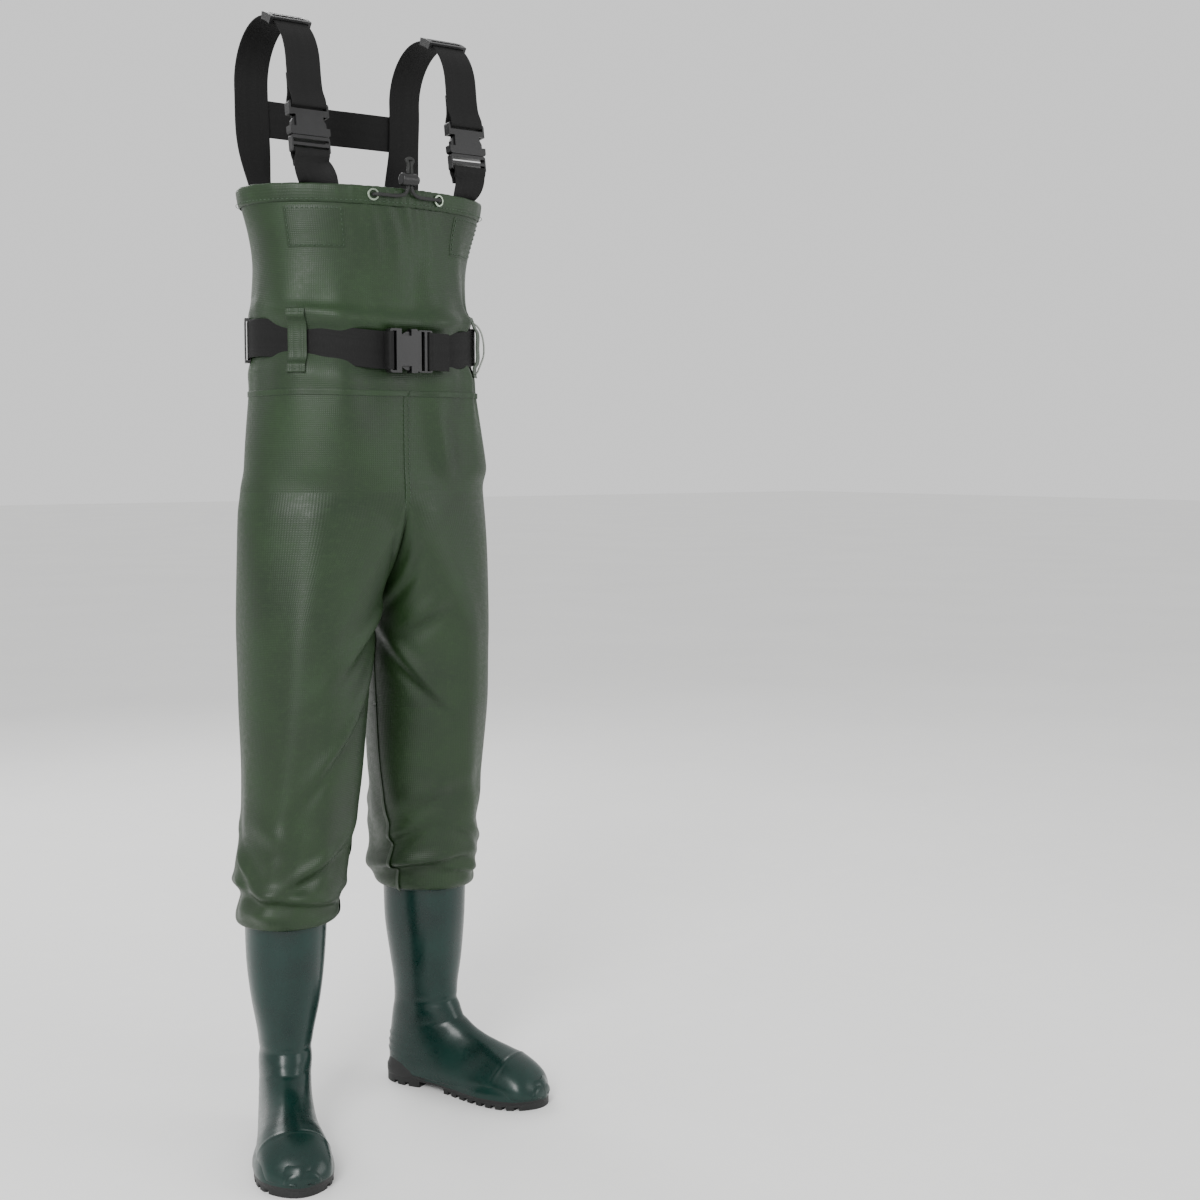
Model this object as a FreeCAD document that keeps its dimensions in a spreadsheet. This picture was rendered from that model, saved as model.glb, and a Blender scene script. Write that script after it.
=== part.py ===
import FreeCAD, Part
import math
import os
import Sketcher
from FreeCAD import Placement, Rotation, Vector

# Chest waders standing on the floor. Millimetres, +Z up, the wearer faces -Y, +X is the wearer's left.
# The origin is on the floor under the middle of the stance.

doc = FreeCAD.newDocument("chest_waders")

# ---------------------------------------------------------------- driving dimensions
TORSO_LEVELS = {  # height, half width, half depth of the body of the waders
    "chest": (1276, 174, 117),
    "ribs": (1210, 160, 112),
    "belly": (1135, 162, 117),
    "belt": (1095, 161, 117),
    "waist": (1035, 168, 119),
    "hips": (955, 181, 121),
    "seat": (885, 189, 121),
    "fork": (800, 197, 119),
}
# height, centre x, centre y, half width, half depth, turn about Z, step back (left) or forward (right)
LEG_LEVELS = {
    "groin": (690, 108, 2, 86, 102, 0, 4),
    "thigh": (625, 115, 6, 81, 94, 1, 9),
    "lower_thigh": (565, 121, 10, 77, 87, 4, 15),
    "knee": (480, 128, 16, 73, 80, 10, 24),
    "calf": (395, 131.5, 23, 69, 75, 17, 31),
    "bagging": (350, 133, 30.5, 66, 72, 24, 34),
    "cuff": (312, 133.6, 33, 62, 69, 24, 35),
}
PLAIN_SIZES = {
    "rim_height": 1300,
    "rim_half_width": 179,
    "rim_half_depth": 119,
    "fabric_thick": 2,
    "hem_inside": 6,
    "hem_outside": 2.5,
    "webbing_wide": 50,
    "webbing_thick": 2.2,
    "belt_gap": 3.2,
    "belt_sag": 17,
    "belt_centre": 1085,
    "buckle_wide": 58,
    "socket_long": 44,
    "socket_thick": 12,
    "plug_long": 22,
    "plug_thick": 10,
    "slot_wide": 5,
    "prong_long": 24,
    "prong_thick": 6,
    "tongue_wide": 12,
    "arch_radius": 75,
    "arch_centre_y": 12,
    "arch_centre_height": 1451,
    "shoulder_x": 122,
    "strap_foot": 1258,
    "buckle_foot": 1338,
    "cross_height": 1410,
    "cross_half_long": 141,
    "slider_wide": 60,
    "slider_angle": 20,
    "slider_gap": 1,
    "slider_wall": 3,
    "cord_thick": 4.8,
    "cord_height": 1288,
    "eyelet_x": 50,
    "eyelet_outer": 16,
    "eyelet_hole": 11.2,
    "eyelet_flange": 1.4,
    "lock_height": 1310,
    "lock_long": 23,
    "lock_thick": 17,
    "boot_x": 138,
    "boot_y": 35,
    "boot_step": 35,
    "toe_out": 24,
    "boot_wall": 3,
    "sole_thick": 18,
    "insole_thick": 4,
    "tread_deep": 5,
    "tread_wide": 7,
    "tread_pitch": 17,
    "arch_deep": 9,
    "loop_wide": 26,
    "loop_tall": 84,
    "loop_rise": 7,
    "side_loop_thick": 2.6,
    "stance_shift": 32.1,
}

sheet = doc.addObject("Spreadsheet::Sheet", "sizes")


def fill_sheet():
    """Writes every driving dimension as a plain number with a word alias."""
    rows = dict(PLAIN_SIZES)
    for name, (height, wide, deep) in TORSO_LEVELS.items():
        rows.update({f"{name}_height": height, f"{name}_half_width": wide, f"{name}_half_depth": deep})
    for name, level in LEG_LEVELS.items():
        words = ("height", "centre_x", "centre_y", "half_width", "half_depth", "turn", "step")
        rows.update({f"{name}_{word}": number for word, number in zip(words, level)})
    for row, (alias, number) in enumerate(rows.items(), start=1):
        sheet.set(f"A{row}", alias)
        sheet.set(f"B{row}", str(number))
        sheet.setAlias(f"B{row}", alias)
    doc.recompute()


def size(alias):
    return float(sheet.get(alias))


def sizes(name, *words):
    return tuple(size(f"{name}_{word}") for word in words)


fill_sheet()
SIDES = {"left": 1, "right": -1}
nodes = []


def keep(piece, label):
    """Names a finished sub-part and lists it for writing."""
    piece.Label = label
    nodes.append(piece)
    return piece


def keep_shape(shape, label, placement=None):
    """A sub-part whose shape comes from Part's own functions."""
    piece = doc.addObject("Part::Feature", label)
    piece.Shape = shape
    if placement is not None:
        piece.Placement = placement
    return keep(piece, label)


def mirrored(shape, side):
    return shape if side > 0 else shape.mirror(Vector(0, 0, 0), Vector(1, 0, 0))


# ---------------------------------------------------------------- closed curves and shells
ELLIPSE_STEPS = 16
OUTER_ANGLES = list(range(-80, 81, 20))
INNER_ANGLES = list(range(105, 256, 25))
LEG_ANGLES = OUTER_ANGLES + INNER_ANGLES


def closed_wire(points):
    curve = Part.BSplineCurve()
    curve.interpolate(Points=points, PeriodicFlag=True)
    return Part.Wire([curve.toShape()])


def ellipse_wire(wide, deep, height):
    turns = [2 * math.pi * step / ELLIPSE_STEPS for step in range(ELLIPSE_STEPS)]
    return closed_wire([Vector(wide * math.cos(a), deep * math.sin(a), height) for a in turns])


def torso_wires(names, inset):
    """Level ellipses of the body, drawn in by inset."""
    wires = []
    for name in names:
        height, wide, deep = sizes(name, "height", "half_width", "half_depth")
        wires.append(ellipse_wire(wide - inset, deep - inset, height))
    return wires


def tube(outer_wires, inner_wires):
    return Part.makeLoft(outer_wires, True).cut(Part.makeLoft(inner_wires, True))


def half_space(sign_x=0, sign_y=0, reach=1000):
    """A big box on one side of the plane X=0, Y=0 or both."""
    low_x = 0 if sign_x > 0 else -reach
    wide = reach if sign_x else 2 * reach
    low_y = 0 if sign_y > 0 else -reach
    deep = reach if sign_y else 2 * reach
    return Part.makeBox(wide, deep, 2 * reach, Vector(low_x, low_y, 0))


def slab(low, high, half_x=1000, half_y=1000):
    return Part.makeBox(2 * half_x, 2 * half_y, high - low, Vector(-half_x, -half_y, low))


# ---------------------------------------------------------------- bib, hem and seat
BIB = ("chest", "ribs", "belly", "belt", "waist")
SEAT = ("waist", "hips", "seat", "fork")


def bib_panels():
    """Front panel and two back panels, joined at the sides and the centre back."""
    thick = size("fabric_thick")
    bib = tube(torso_wires(BIB, 0), torso_wires(BIB, thick))
    keep_shape(bib.common(half_space(sign_y=-1)), "bib_front_panel")
    back = bib.common(half_space(sign_y=1))
    for name, side in SIDES.items():
        keep_shape(back.common(half_space(sign_x=side)), f"bib_back_panel_{name}")


def seat_halves():
    thick = size("fabric_thick")
    seat = tube(torso_wires(SEAT, 0), torso_wires(SEAT, thick))
    for name, side in SIDES.items():
        keep_shape(seat.common(half_space(sign_x=side)), f"seat_panel_{name}")


def seam_tapes():
    """Heat-sealed tapes inside the centre front and back seams and the waist seam."""
    thick = size("fabric_thick")
    tape_thick = 0.8
    half_wide = 11
    clear_of_waist = 16
    low = size("fork_height") + 4
    high = size("waist_height") - clear_of_waist
    skin = tube(torso_wires(SEAT, thick), torso_wires(SEAT, thick + tape_thick))
    strip = skin.common(slab(low, high, half_x=half_wide))
    keep_shape(strip.common(half_space(sign_y=-1)), "centre_front_seam_tape")
    keep_shape(strip.common(half_space(sign_y=1)), "centre_back_seam_tape")
    half_tall = 12
    waist = size("waist_height")
    upper = tube(torso_wires(BIB, thick), torso_wires(BIB, thick + tape_thick))
    band = skin.common(slab(waist - half_tall, waist)).fuse(upper.common(slab(waist, waist + half_tall)))
    keep_shape(band, "waist_seam_tape")


def cord_route():
    """Half of the drawcord: back centre, round the hem, out of the eyelet, up to the lock."""
    middle = (size("hem_inside") - size("hem_outside")) / 2
    wide = size("rim_half_width") - middle
    deep = size("rim_half_depth") - middle
    height = size("cord_height")
    face, normal = eyelet_face(1)
    route = [Vector(0.6, deep, height)]
    for angle in range(80, -65, -12):
        turn = math.radians(angle)
        route.append(Vector(wide * math.cos(turn), deep * math.sin(turn), height))
    thick = size("cord_thick")
    outside = face + normal * (size("eyelet_flange") + thick / 2 + 1.7)
    route.append(face - normal * (size("hem_outside") + middle))
    route.append(outside)
    route.append(Vector(16, outside.y - 2.6, height))
    route.append(Vector(thick / 2 + 0.3, outside.y - 4.2, height + 6))
    return route


def surface_y(x):
    """Depth of the rim's outer ellipse at a distance x from the middle."""
    return size("rim_half_depth") * math.sqrt(1 - (x / size("rim_half_width")) ** 2)


def rounded_path(points):
    """Straight runs joined by tangent arcs, each as large as its two runs allow."""
    edges = []
    start = points[0]
    for before, corner, after in zip(points, points[1:], points[2:]):
        into = corner - before
        out = after - corner
        reach = 0.45 * min(into.Length, out.Length)
        into.normalize()
        out.normalize()
        half_turn = into.getAngle(out) / 2
        radius = reach / math.tan(half_turn)
        first = corner - into * reach
        last = corner + out * reach
        middle = corner + (out - into).normalize() * (radius / math.cos(half_turn) - radius)
        edges.append(Part.makeLine(start, first))
        edges.append(Part.Arc(first, middle, last).toShape())
        start = last
    edges.append(Part.makeLine(start, points[-1]))
    return Part.Wire(edges)


def rod(path, diameter):
    """A round rod along a tangent-continuous path."""
    start = path.Edges[0].Vertexes[0].Point
    along = path.Edges[0].tangentAt(path.Edges[0].FirstParameter)
    circle = Part.Wire([Part.makeCircle(diameter / 2, start, along)])
    return path.makePipeShell([circle], True, True, 2)


def drawcord_paths():
    """Left half route, the right half, and a half-turn loop that joins them over the lock."""
    half = cord_route()
    top = half[-1]
    half.append(Vector(top.x, top.y, size("lock_height") + 22))
    other = [Vector(-point.x, point.y, point.z) for point in half]
    crown = half[-1] + Vector(-top.x, 0, top.x)
    arch = Part.Arc(half[-1], crown, other[-1])
    return rounded_path(half), rounded_path(other), Part.Wire([arch.toShape()])


def hem_and_drawcord():
    """Folded hem round the rim, with the cord's tunnel inside and a hole behind each eyelet."""
    inside = size("hem_inside")
    outside = size("hem_outside")
    low = size("chest_height")
    high = size("rim_height")
    wide = size("rim_half_width")
    deep = size("rim_half_depth")
    low_wide, low_deep = sizes("chest", "half_width", "half_depth")
    outer = [ellipse_wire(low_wide + outside, low_deep + outside, low),
             ellipse_wire(wide + outside, deep + outside, high)]
    inner = [ellipse_wire(low_wide - inside, low_deep - inside, low),
             ellipse_wire(wide - inside, deep - inside, high)]
    hem = tube(outer, inner)
    start, end, arch = drawcord_paths()
    tunnel = size("cord_thick") + 1.6
    for path in (start, end):
        hem = hem.cut(rod(path, tunnel))
    for sign in (1, -1):
        hem = hem.cut(eyelet_shape(sign, 0.05, with_hole=False))
    keep_shape(hem, "top_hem")
    thick = size("cord_thick")
    cord = rod(start, thick).fuse([rod(end, thick), rod(arch, thick)]).removeSplitter()
    keep_shape(cord, "drawcord")


def eyelet_face(sign):
    """Middle of the eyelet's seat on the hem's outer wall, and the outward normal."""
    hole_x = size("eyelet_x")
    wide = size("rim_half_width")
    deep = size("rim_half_depth")
    normal = Vector(sign * hole_x / wide ** 2, -surface_y(hole_x) / deep ** 2, 0).normalize()
    seat = Vector(sign * hole_x, -surface_y(hole_x), size("cord_height"))
    return seat + normal * (size("hem_outside") + 0.1), normal


def eyelet_shape(sign, grow, with_hole=True):
    """Flanged ring through the hem's outer wall, facing along the rim's normal."""
    face, normal = eyelet_face(sign)
    outer = size("eyelet_outer") / 2 + grow
    flange = size("eyelet_flange")
    hole = size("eyelet_hole") / 2
    barrel_wall = 0.9
    barrel_long = 1.0
    ring = Part.makeCylinder(outer, flange + 3 * grow, face, normal)
    barrel = Part.makeCylinder(hole + barrel_wall + grow, barrel_long + grow, face, normal * -1)
    shape = ring.fuse(barrel)
    if with_hole:
        shape = shape.cut(Part.makeCylinder(hole, 20, face - normal * 10, normal))
        rim_edges = [edge for edge in shape.Edges if abs(edge.Length - 2 * math.pi * outer) < 0.01]
        shape = shape.makeFillet(flange * 0.4, rim_edges)
    return shape


def eyelets():
    keep_shape(Part.makeCompound([eyelet_shape(sign, 0) for sign in (1, -1)]), "eyelets")


def strap_patches():
    """Two sewn patches on the front, over the tails of the front tabs."""
    thick = 1.0
    gap = 0.05
    names = ("chest", "ribs")
    skin = tube(torso_wires(names, -(gap + thick)), torso_wires(names, -gap))
    window = Part.makeBox(62, 200, 52, Vector(86, -200, size("chest_height") - 58))
    patch = skin.common(window)
    keep_shape(Part.makeCompound([mirrored(patch, sign) for sign in (1, -1)]), "strap_patches")


# ---------------------------------------------------------------- legs
def leg_wire(name, inset, side):
    """One level ring of a leg before mirroring: an ellipse turned about its own centre."""
    height, x, y, wide, deep, turn, step = sizes(
        name, "height", "centre_x", "centre_y", "half_width", "half_depth", "turn", "step")
    y += side * step
    turn = math.radians(turn)
    points = []
    for angle in LEG_ANGLES:
        across = (wide - inset) * math.cos(math.radians(angle))
        along = (deep - inset) * math.sin(math.radians(angle))
        points.append(Vector(x + across * math.cos(turn) - along * math.sin(turn),
                             y + across * math.sin(turn) + along * math.cos(turn), height))
    return closed_wire(points)


def fork_wire(inset):
    """Half of the body's ellipse closed by a nearly flat inner side."""
    height, wide, deep = sizes("fork", "height", "half_width", "half_depth")
    inner_x = 3
    points = []
    for angle in OUTER_ANGLES:
        turn = math.radians(angle)
        points.append(Vector((wide - inset) * math.cos(turn), (deep - inset) * math.sin(turn), height))
    for angle in INNER_ANGLES:
        turn = math.radians(angle)
        bulge = 9 * math.sin(turn) ** 8
        points.append(Vector(inner_x + inset + bulge, (deep - inset) * math.sin(turn), height))
    return closed_wire(points)


def leg_fabric(side_name, side):
    thick = size("fabric_thick")
    hip = tube([fork_wire(0), leg_wire("groin", 0, side)], [fork_wire(thick), leg_wire("groin", thick, side)])
    thigh_names = ("groin", "thigh", "lower_thigh")
    knee_names = ("lower_thigh", "knee", "calf")
    shin_names = ("calf", "bagging", "cuff")
    keep_shape(mirrored(hip, side), f"hip_fabric_{side_name}")
    pieces = {"thigh_fabric": thigh_names, "knee_fabric": knee_names, "shin_fabric": shin_names}
    for piece, names in pieces.items():
        shape = tube([leg_wire(name, 0, side) for name in names],
                     [leg_wire(name, thick, side) for name in names])
        keep_shape(mirrored(shape, side), f"{piece}_{side_name}")


# ---------------------------------------------------------------- boots
# Each section of a boot lies in a plane through two points of the side view: the one in front or on
# top, and the one behind or below. Side view: y runs to the heel, z up. Then half width and centre x.
BOOT_SECTIONS = [
    ((-62, 330), (62, 330), 56, -5),
    ((-61.5, 295), (61.5, 295), 55.5, -4.6),
    ((-60, 250), (60, 250), 53, -4),
    ((-55, 200), (55, 200), 47, -3),
    ((-49, 148), (51, 144), 37.5, -2),
    ((-56, 117), (58, 92), 36, -1),
    ((-76, 98), (65, 42), 36, 0),
    ((-98, 87), (54, 2), 38, 0),
    ((-117, 80), (-8, -14), 41, 0),
    ((-138, 73), (-82, -16), 46.5, -1),
    ((-163, 65), (-138, -12), 48.5, -3),
    ((-187, 51), (-186, -8), 42, -6),
    ((-204, 34), (-205, 2), 24, -9),
]
SECTION_STEPS = 14
INSTEP_SECTION = 8


def boot_wire(section, inset):
    front, back, wide, x = section
    front = Vector(0, *front)
    back = Vector(0, *back)
    middle = (front + back) * 0.5
    half = (front - back) * 0.5
    half_long = half.Length - inset
    half.normalize()
    points = []
    for step in range(SECTION_STEPS):
        turn = 2 * math.pi * step / SECTION_STEPS
        spot = middle + half * (half_long * math.cos(turn))
        points.append(Vector(x + (wide - inset) * math.sin(turn), spot.y, spot.z))
    return closed_wire(points)


def boot_solid(inset, floor):
    """The boot's outer form drawn in by inset and cut flat at the floor height."""
    sections = BOOT_SECTIONS if inset == 0 else BOOT_SECTIONS[:-1]
    wires = [boot_wire(section, inset) for section in sections]
    upper = Part.makeLoft(wires[:INSTEP_SECTION + 1], True)
    form = upper.fuse(Part.makeLoft(wires[INSTEP_SECTION:], True))
    return form.common(slab(floor, 400))


def boot_placement(side):
    turn = Rotation(Vector(0, 0, 1), size("toe_out") * side)
    return Placement(Vector(side * size("boot_x"), size("boot_y") + side * size("boot_step"), 0), turn)


def footprint(side, scale_x=1.0, scale_y=1.0):
    """Outline of a sole: heel, waist, ball and toe, seen from above."""
    outline = [(0, 66), (24, 54), (33, 30), (31, -20), (43, -75), (49, -125), (38, -180),
               (-8, -210), (-46, -180), (-52, -125), (-41, -75), (-31, -20), (-33, 30), (-24, 54)]
    middle_y = -70
    points = [Vector(side * x * scale_x, middle_y + (y - middle_y) * scale_y, 0) for x, y in outline]
    curve = Part.BSplineCurve()
    curve.interpolate(Points=points, PeriodicFlag=True)
    return curve


def boot_shells(side_name, side):
    wall = size("boot_wall")
    floor = size("sole_thick")
    shell = boot_solid(0, floor).cut(boot_solid(wall, floor + wall))
    keep_shape(mirrored(shell, side), f"boot_shell_{side_name}", boot_placement(side))
    band_low = size("cuff_height") + 1
    ring = boot_solid(-1.4, band_low).cut(boot_solid(-0.2, band_low))
    ring = ring.common(slab(band_low, band_low + 15))
    keep_shape(mirrored(ring, side), f"boot_weld_band_{side_name}", boot_placement(side))


# ---------------------------------------------------------------- PartDesign helpers
def new_body(label):
    body = doc.addObject("PartDesign::Body", label)
    return keep(body, label)


def new_sketch(body, role, name):
    plane = next(item for item in body.Origin.OriginFeatures if item.Role == role)
    sketch = body.newObject("Sketcher::SketchObject", f"{body.Name}_{name}")
    sketch.AttachmentSupport = (plane, [""])
    sketch.MapMode = "FlatFace"
    return sketch


def named_constraint(sketch, name, expression, *reference):
    index = sketch.addConstraint(Sketcher.Constraint(*reference))
    sketch.renameConstraint(index, name)
    sketch.setExpression(f"Constraints.{name}", expression)


def add_rectangle(sketch, name, left, low, wide, tall):
    """A rectangle whose corner, width and height are expressions."""
    first = sketch.GeometryCount
    corners = [Vector(0, 0, 0), Vector(10, 0, 0), Vector(10, 10, 0), Vector(0, 10, 0)]
    for step in range(4):
        sketch.addGeometry(Part.LineSegment(corners[step], corners[(step + 1) % 4]), False)
    for step in range(4):
        following = first + (step + 1) % 4
        sketch.addConstraint(Sketcher.Constraint("Coincident", first + step, 2, following, 1))
    for step in (0, 2):
        sketch.addConstraint(Sketcher.Constraint("Horizontal", first + step))
        sketch.addConstraint(Sketcher.Constraint("Vertical", first + step + 1))
    named_constraint(sketch, f"{name}_wide", wide, "DistanceX", first, 1, first, 2, 10)
    named_constraint(sketch, f"{name}_tall", tall, "DistanceY", first + 1, 1, first + 1, 2, 10)
    named_constraint(sketch, f"{name}_left", left, "DistanceX", -1, 1, first, 1, 1)
    named_constraint(sketch, f"{name}_low", low, "DistanceY", -1, 1, first, 1, 1)


def add_pad(body, sketch, length, symmetric=True, cut=False, reverse=False):
    kind = "Pocket" if cut else "Pad"
    feature = body.newObject(f"PartDesign::{kind}", f"{sketch.Name}_{kind.lower()}")
    feature.Profile = sketch
    feature.setExpression("Length", length)
    if symmetric:
        feature.SideType = "Symmetric"
    feature.Reversed = reverse
    return feature


def round_edges(body, feature, radius, chosen):
    """Fillets the feature's edges that the test picks out."""
    doc.recompute()
    names = [f"Edge{number}" for number, edge in enumerate(feature.Shape.Edges, 1) if chosen(edge)]
    fillet = body.newObject("PartDesign::Fillet", f"{body.Name}_rounding")
    fillet.Base = (feature, names)
    fillet.Radius = radius
    return fillet


def upright(edge):
    """True for a straight edge along the body's own Z."""
    return abs(abs(edge.tangentAt(edge.FirstParameter).z) - 1) < 1e-6 and edge.Curve.TypeId == "Part::GeomLine"


# ---------------------------------------------------------------- side-release buckles
# Own axes: x across the webbing, y from the plug towards the socket's strap bar, z outwards.
CAVITY_DEEP = 30


def buckle_socket(label, placement):
    body = new_body(label)
    outline = new_sketch(body, "XY_Plane", "outline")
    add_rectangle(outline, "outer", "-sizes.buckle_wide / 2", "0", "sizes.buckle_wide", "sizes.socket_long")
    block = add_pad(body, outline, "sizes.socket_thick")
    rounded = round_edges(body, block, 4, upright)
    mouth = new_sketch(body, "XZ_Plane", "mouth")
    add_rectangle(mouth, "cavity", "-sizes.buckle_wide / 2 + 3", "-sizes.prong_thick / 2 - 0.5",
                  "sizes.buckle_wide - 6", "sizes.prong_thick + 1")
    add_pad(body, mouth, str(CAVITY_DEEP), symmetric=False, cut=True, reverse=False)
    slot = new_sketch(body, "XY_Plane", "slot")
    add_rectangle(slot, "strap", "-sizes.webbing_wide / 2 - 1", "sizes.socket_long - 10",
                  "sizes.webbing_wide + 2", "sizes.slot_wide + 1")
    add_pad(body, slot, "3 * sizes.socket_thick", cut=True)
    for name, sign in SIDES.items():
        window = new_sketch(body, "XY_Plane", f"window_{name}")
        left = "sizes.buckle_wide / 2 - 9" if sign > 0 else "-sizes.buckle_wide / 2 - 5"
        add_rectangle(window, "notch", left, "11", "14", "15")
        add_pad(body, window, "3 * sizes.socket_thick", cut=True)
    body.Placement = placement
    return rounded


def buckle_plug(label, placement):
    """Plug's base with a two-slot webbing ladder, and its guide tongue."""
    body = new_body(label)
    outline = new_sketch(body, "XY_Plane", "outline")
    add_rectangle(outline, "base", "-sizes.buckle_wide / 2 + 1", "-sizes.plug_long - 0.5",
                  "sizes.buckle_wide - 2", "sizes.plug_long")
    block = add_pad(body, outline, "sizes.plug_thick")
    round_edges(body, block, 3, upright)
    tongue = new_sketch(body, "XY_Plane", "tongue")
    add_rectangle(tongue, "guide", "-sizes.tongue_wide / 2", "-2", "sizes.tongue_wide",
                  "sizes.prong_long + 3")
    add_pad(body, tongue, "sizes.prong_thick - 1")
    ladder = new_sketch(body, "XY_Plane", "ladder")
    for name, low in (("outer_slot", "-sizes.plug_long + 3"), ("inner_slot", "-sizes.plug_long + 12")):
        add_rectangle(ladder, name, "-sizes.webbing_wide / 2 - 1", low, "sizes.webbing_wide + 2",
                      "sizes.slot_wide")
    add_pad(body, ladder, "3 * sizes.plug_thick", cut=True)
    body.Placement = placement


def buckle_prong(label, sign, placement):
    """One springy arm of the plug, with the catch that shows in the socket's side window."""
    body = new_body(label)
    outline = new_sketch(body, "XY_Plane", "arm")
    half = size("buckle_wide") / 2
    long = size("prong_long")
    points = [(half - 14, 0.1), (half - 7, 0.1), (half - 5.5, 11.6), (half - 3.6, 12.6),
              (half - 3.6, 17), (half - 7.5, long), (half - 12, long)]
    corners = [Vector(sign * x, y, 0) for x, y in points]
    for corner, following in zip(corners, corners[1:] + corners[:1]):
        outline.addGeometry(Part.LineSegment(corner, following), False)
    for step in range(len(corners)):
        outline.addConstraint(Sketcher.Constraint("Coincident", step, 2, (step + 1) % len(corners), 1))
        outline.addConstraint(Sketcher.Constraint("Block", step))
    add_pad(body, outline, "sizes.prong_thick")
    body.Placement = placement


def buckle(name, placement):
    buckle_socket(f"{name}_buckle_socket", placement)
    buckle_plug(f"{name}_buckle_plug", placement)
    for word, sign in (("a", 1), ("b", -1)):
        buckle_prong(f"{name}_buckle_prong_{word}", sign, placement)


# ---------------------------------------------------------------- webbing
def band(stations, wide, thick):
    """Webbing lofted through flat sections: (centre, direction across, outward normal)."""
    wires = []
    for centre, across, normal in stations:
        side = Vector(across).normalize() * (wide / 2)
        face = Vector(normal).normalize() * (thick / 2)
        corners = [centre - side - face, centre + side - face, centre + side + face, centre - side + face]
        wires.append(Part.makePolygon(corners + corners[:1]))
    return Part.makeLoft(wires, True)


def strap_eye(bar_long, bar_thick, wide, thick):
    """A webbing fold round a buckle bar, own axes as the buckle's; the tail leaves towards +y."""
    gap = 0.35
    long = bar_long / 2 + gap
    half = bar_thick / 2 + gap
    outer = Part.makeBox(wide, 2 * (long + thick), 2 * (half + thick),
                         Vector(-wide / 2, -long - thick, -half - thick))
    edges = [edge for edge in outer.Edges if abs(edge.tangentAt(0).x) > 0.99]
    outer = outer.makeFillet(thick, edges)
    inner = Part.makeBox(wide, 2 * long, 2 * half, Vector(-wide / 2, -long, -half))
    return outer.cut(inner)


def base_station(side, height, at_front):
    """Strap foot inside the hem: centre, direction across and normal of the rim's inner face."""
    x = size("shoulder_x") - 6
    y = surface_y(x)
    wide = size("rim_half_width")
    deep = size("rim_half_depth")
    normal = Vector(x / wide ** 2, y / deep ** 2, 0).normalize()
    inward = size("hem_inside") + 4.4 + (size("rim_height") - height) * 0.2
    centre = Vector(x, y, height) - normal * inward
    across = Vector(normal.y, -normal.x, 0)
    if at_front:
        centre.y = -centre.y
        normal.y = -normal.y
        across = Vector(-normal.y, normal.x, 0)
    return (Vector(centre.x * side, centre.y, centre.z), Vector(across.x, across.y * side, 0),
            Vector(normal.x * side, normal.y, 0))


def arch_station(side, angle):
    """A point of the strap's arch over the shoulder; the angle is from the top, positive backwards."""
    turn = math.radians(angle)
    radius = size("arch_radius")
    normal = Vector(0, math.sin(turn), math.cos(turn))
    centre = Vector(side * size("shoulder_x"), size("arch_centre_y"), size("arch_centre_height"))
    return (centre + normal * radius, Vector(1, 0, 0), normal)


BACK_END = 84
FRONT_END = -82
ARCH_SPLIT = -10


def buckle_place(side):
    """Strap buckle's frame: y up the strap, z forwards, on the straight run below the arch."""
    end, _, normal = arch_station(side, FRONT_END)
    up = Vector(0, -normal.z, normal.y) * -1
    foot = end - up * ((end.z - size("buckle_foot")) / up.z)
    origin = foot + up * (size("plug_long") + 0.5)
    turn = Rotation(Vector(1, 0, 0), up, normal, "ZXY")
    return Placement(origin, turn), up, normal


def swept_arch(side, first, last):
    """Part of the shoulder arch as one turned solid, first to last degrees from the top."""
    wide = size("webbing_wide")
    thick = size("webbing_thick")
    centre, across, normal = arch_station(side, first)
    half_face = normal * (thick / 2)
    half_side = across * (wide / 2)
    corners = [centre - half_side - half_face, centre + half_side - half_face,
               centre + half_side + half_face, centre - half_side + half_face]
    face = Part.Face(Part.makePolygon(corners + corners[:1]))
    axis_point = Vector(0, size("arch_centre_y"), size("arch_centre_height"))
    return face.revolve(axis_point, Vector(1, 0, 0), first - last)


def back_strap(side_name, side):
    wide = size("webbing_wide")
    thick = size("webbing_thick")
    end, across, normal = arch_station(side, BACK_END)
    back_y = end.y
    untwisted = (Vector(side * (size("shoulder_x") - 2), back_y, size("cross_height") - 30), across,
                 Vector(0, 1, 0))
    above = (Vector(side * size("shoulder_x"), back_y, size("cross_height") + 28), across, Vector(0, 1, 0))
    foot = base_station(side, size("strap_foot"), False)
    rim = base_station(side, size("rim_height") + 4, False)
    lower = band([foot, rim, untwisted], wide, thick)
    upper = band([untwisted, above, (end, across, normal)], wide, thick)
    strap = lower.fuse([upper, swept_arch(side, BACK_END, ARCH_SPLIT)]).removeSplitter()
    keep_shape(strap, f"back_strap_{side_name}")


def front_strap(side_name, side):
    """From under the shoulder slider down to the socket's bar, which it folds round."""
    wide = size("webbing_wide")
    thick = size("webbing_thick")
    place, _, normal = buckle_place(side)
    arch = swept_arch(side, ARCH_SPLIT, FRONT_END)
    end, across, face = arch_station(side, FRONT_END)
    bar = place.multVec(Vector(0, size("socket_long") - 2, 0))
    eye = strap_eye(4, size("socket_thick"), wide, thick)
    eye.Placement = Placement(bar, place.Rotation)
    eye_top = place.multVec(Vector(0, size("socket_long") + 0.35 + thick / 2, 0))
    run = band([(eye_top, across, normal), (end, across, face)], wide, thick)
    keep_shape(arch.fuse([run, eye]).removeSplitter(), f"front_strap_{side_name}")


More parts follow.
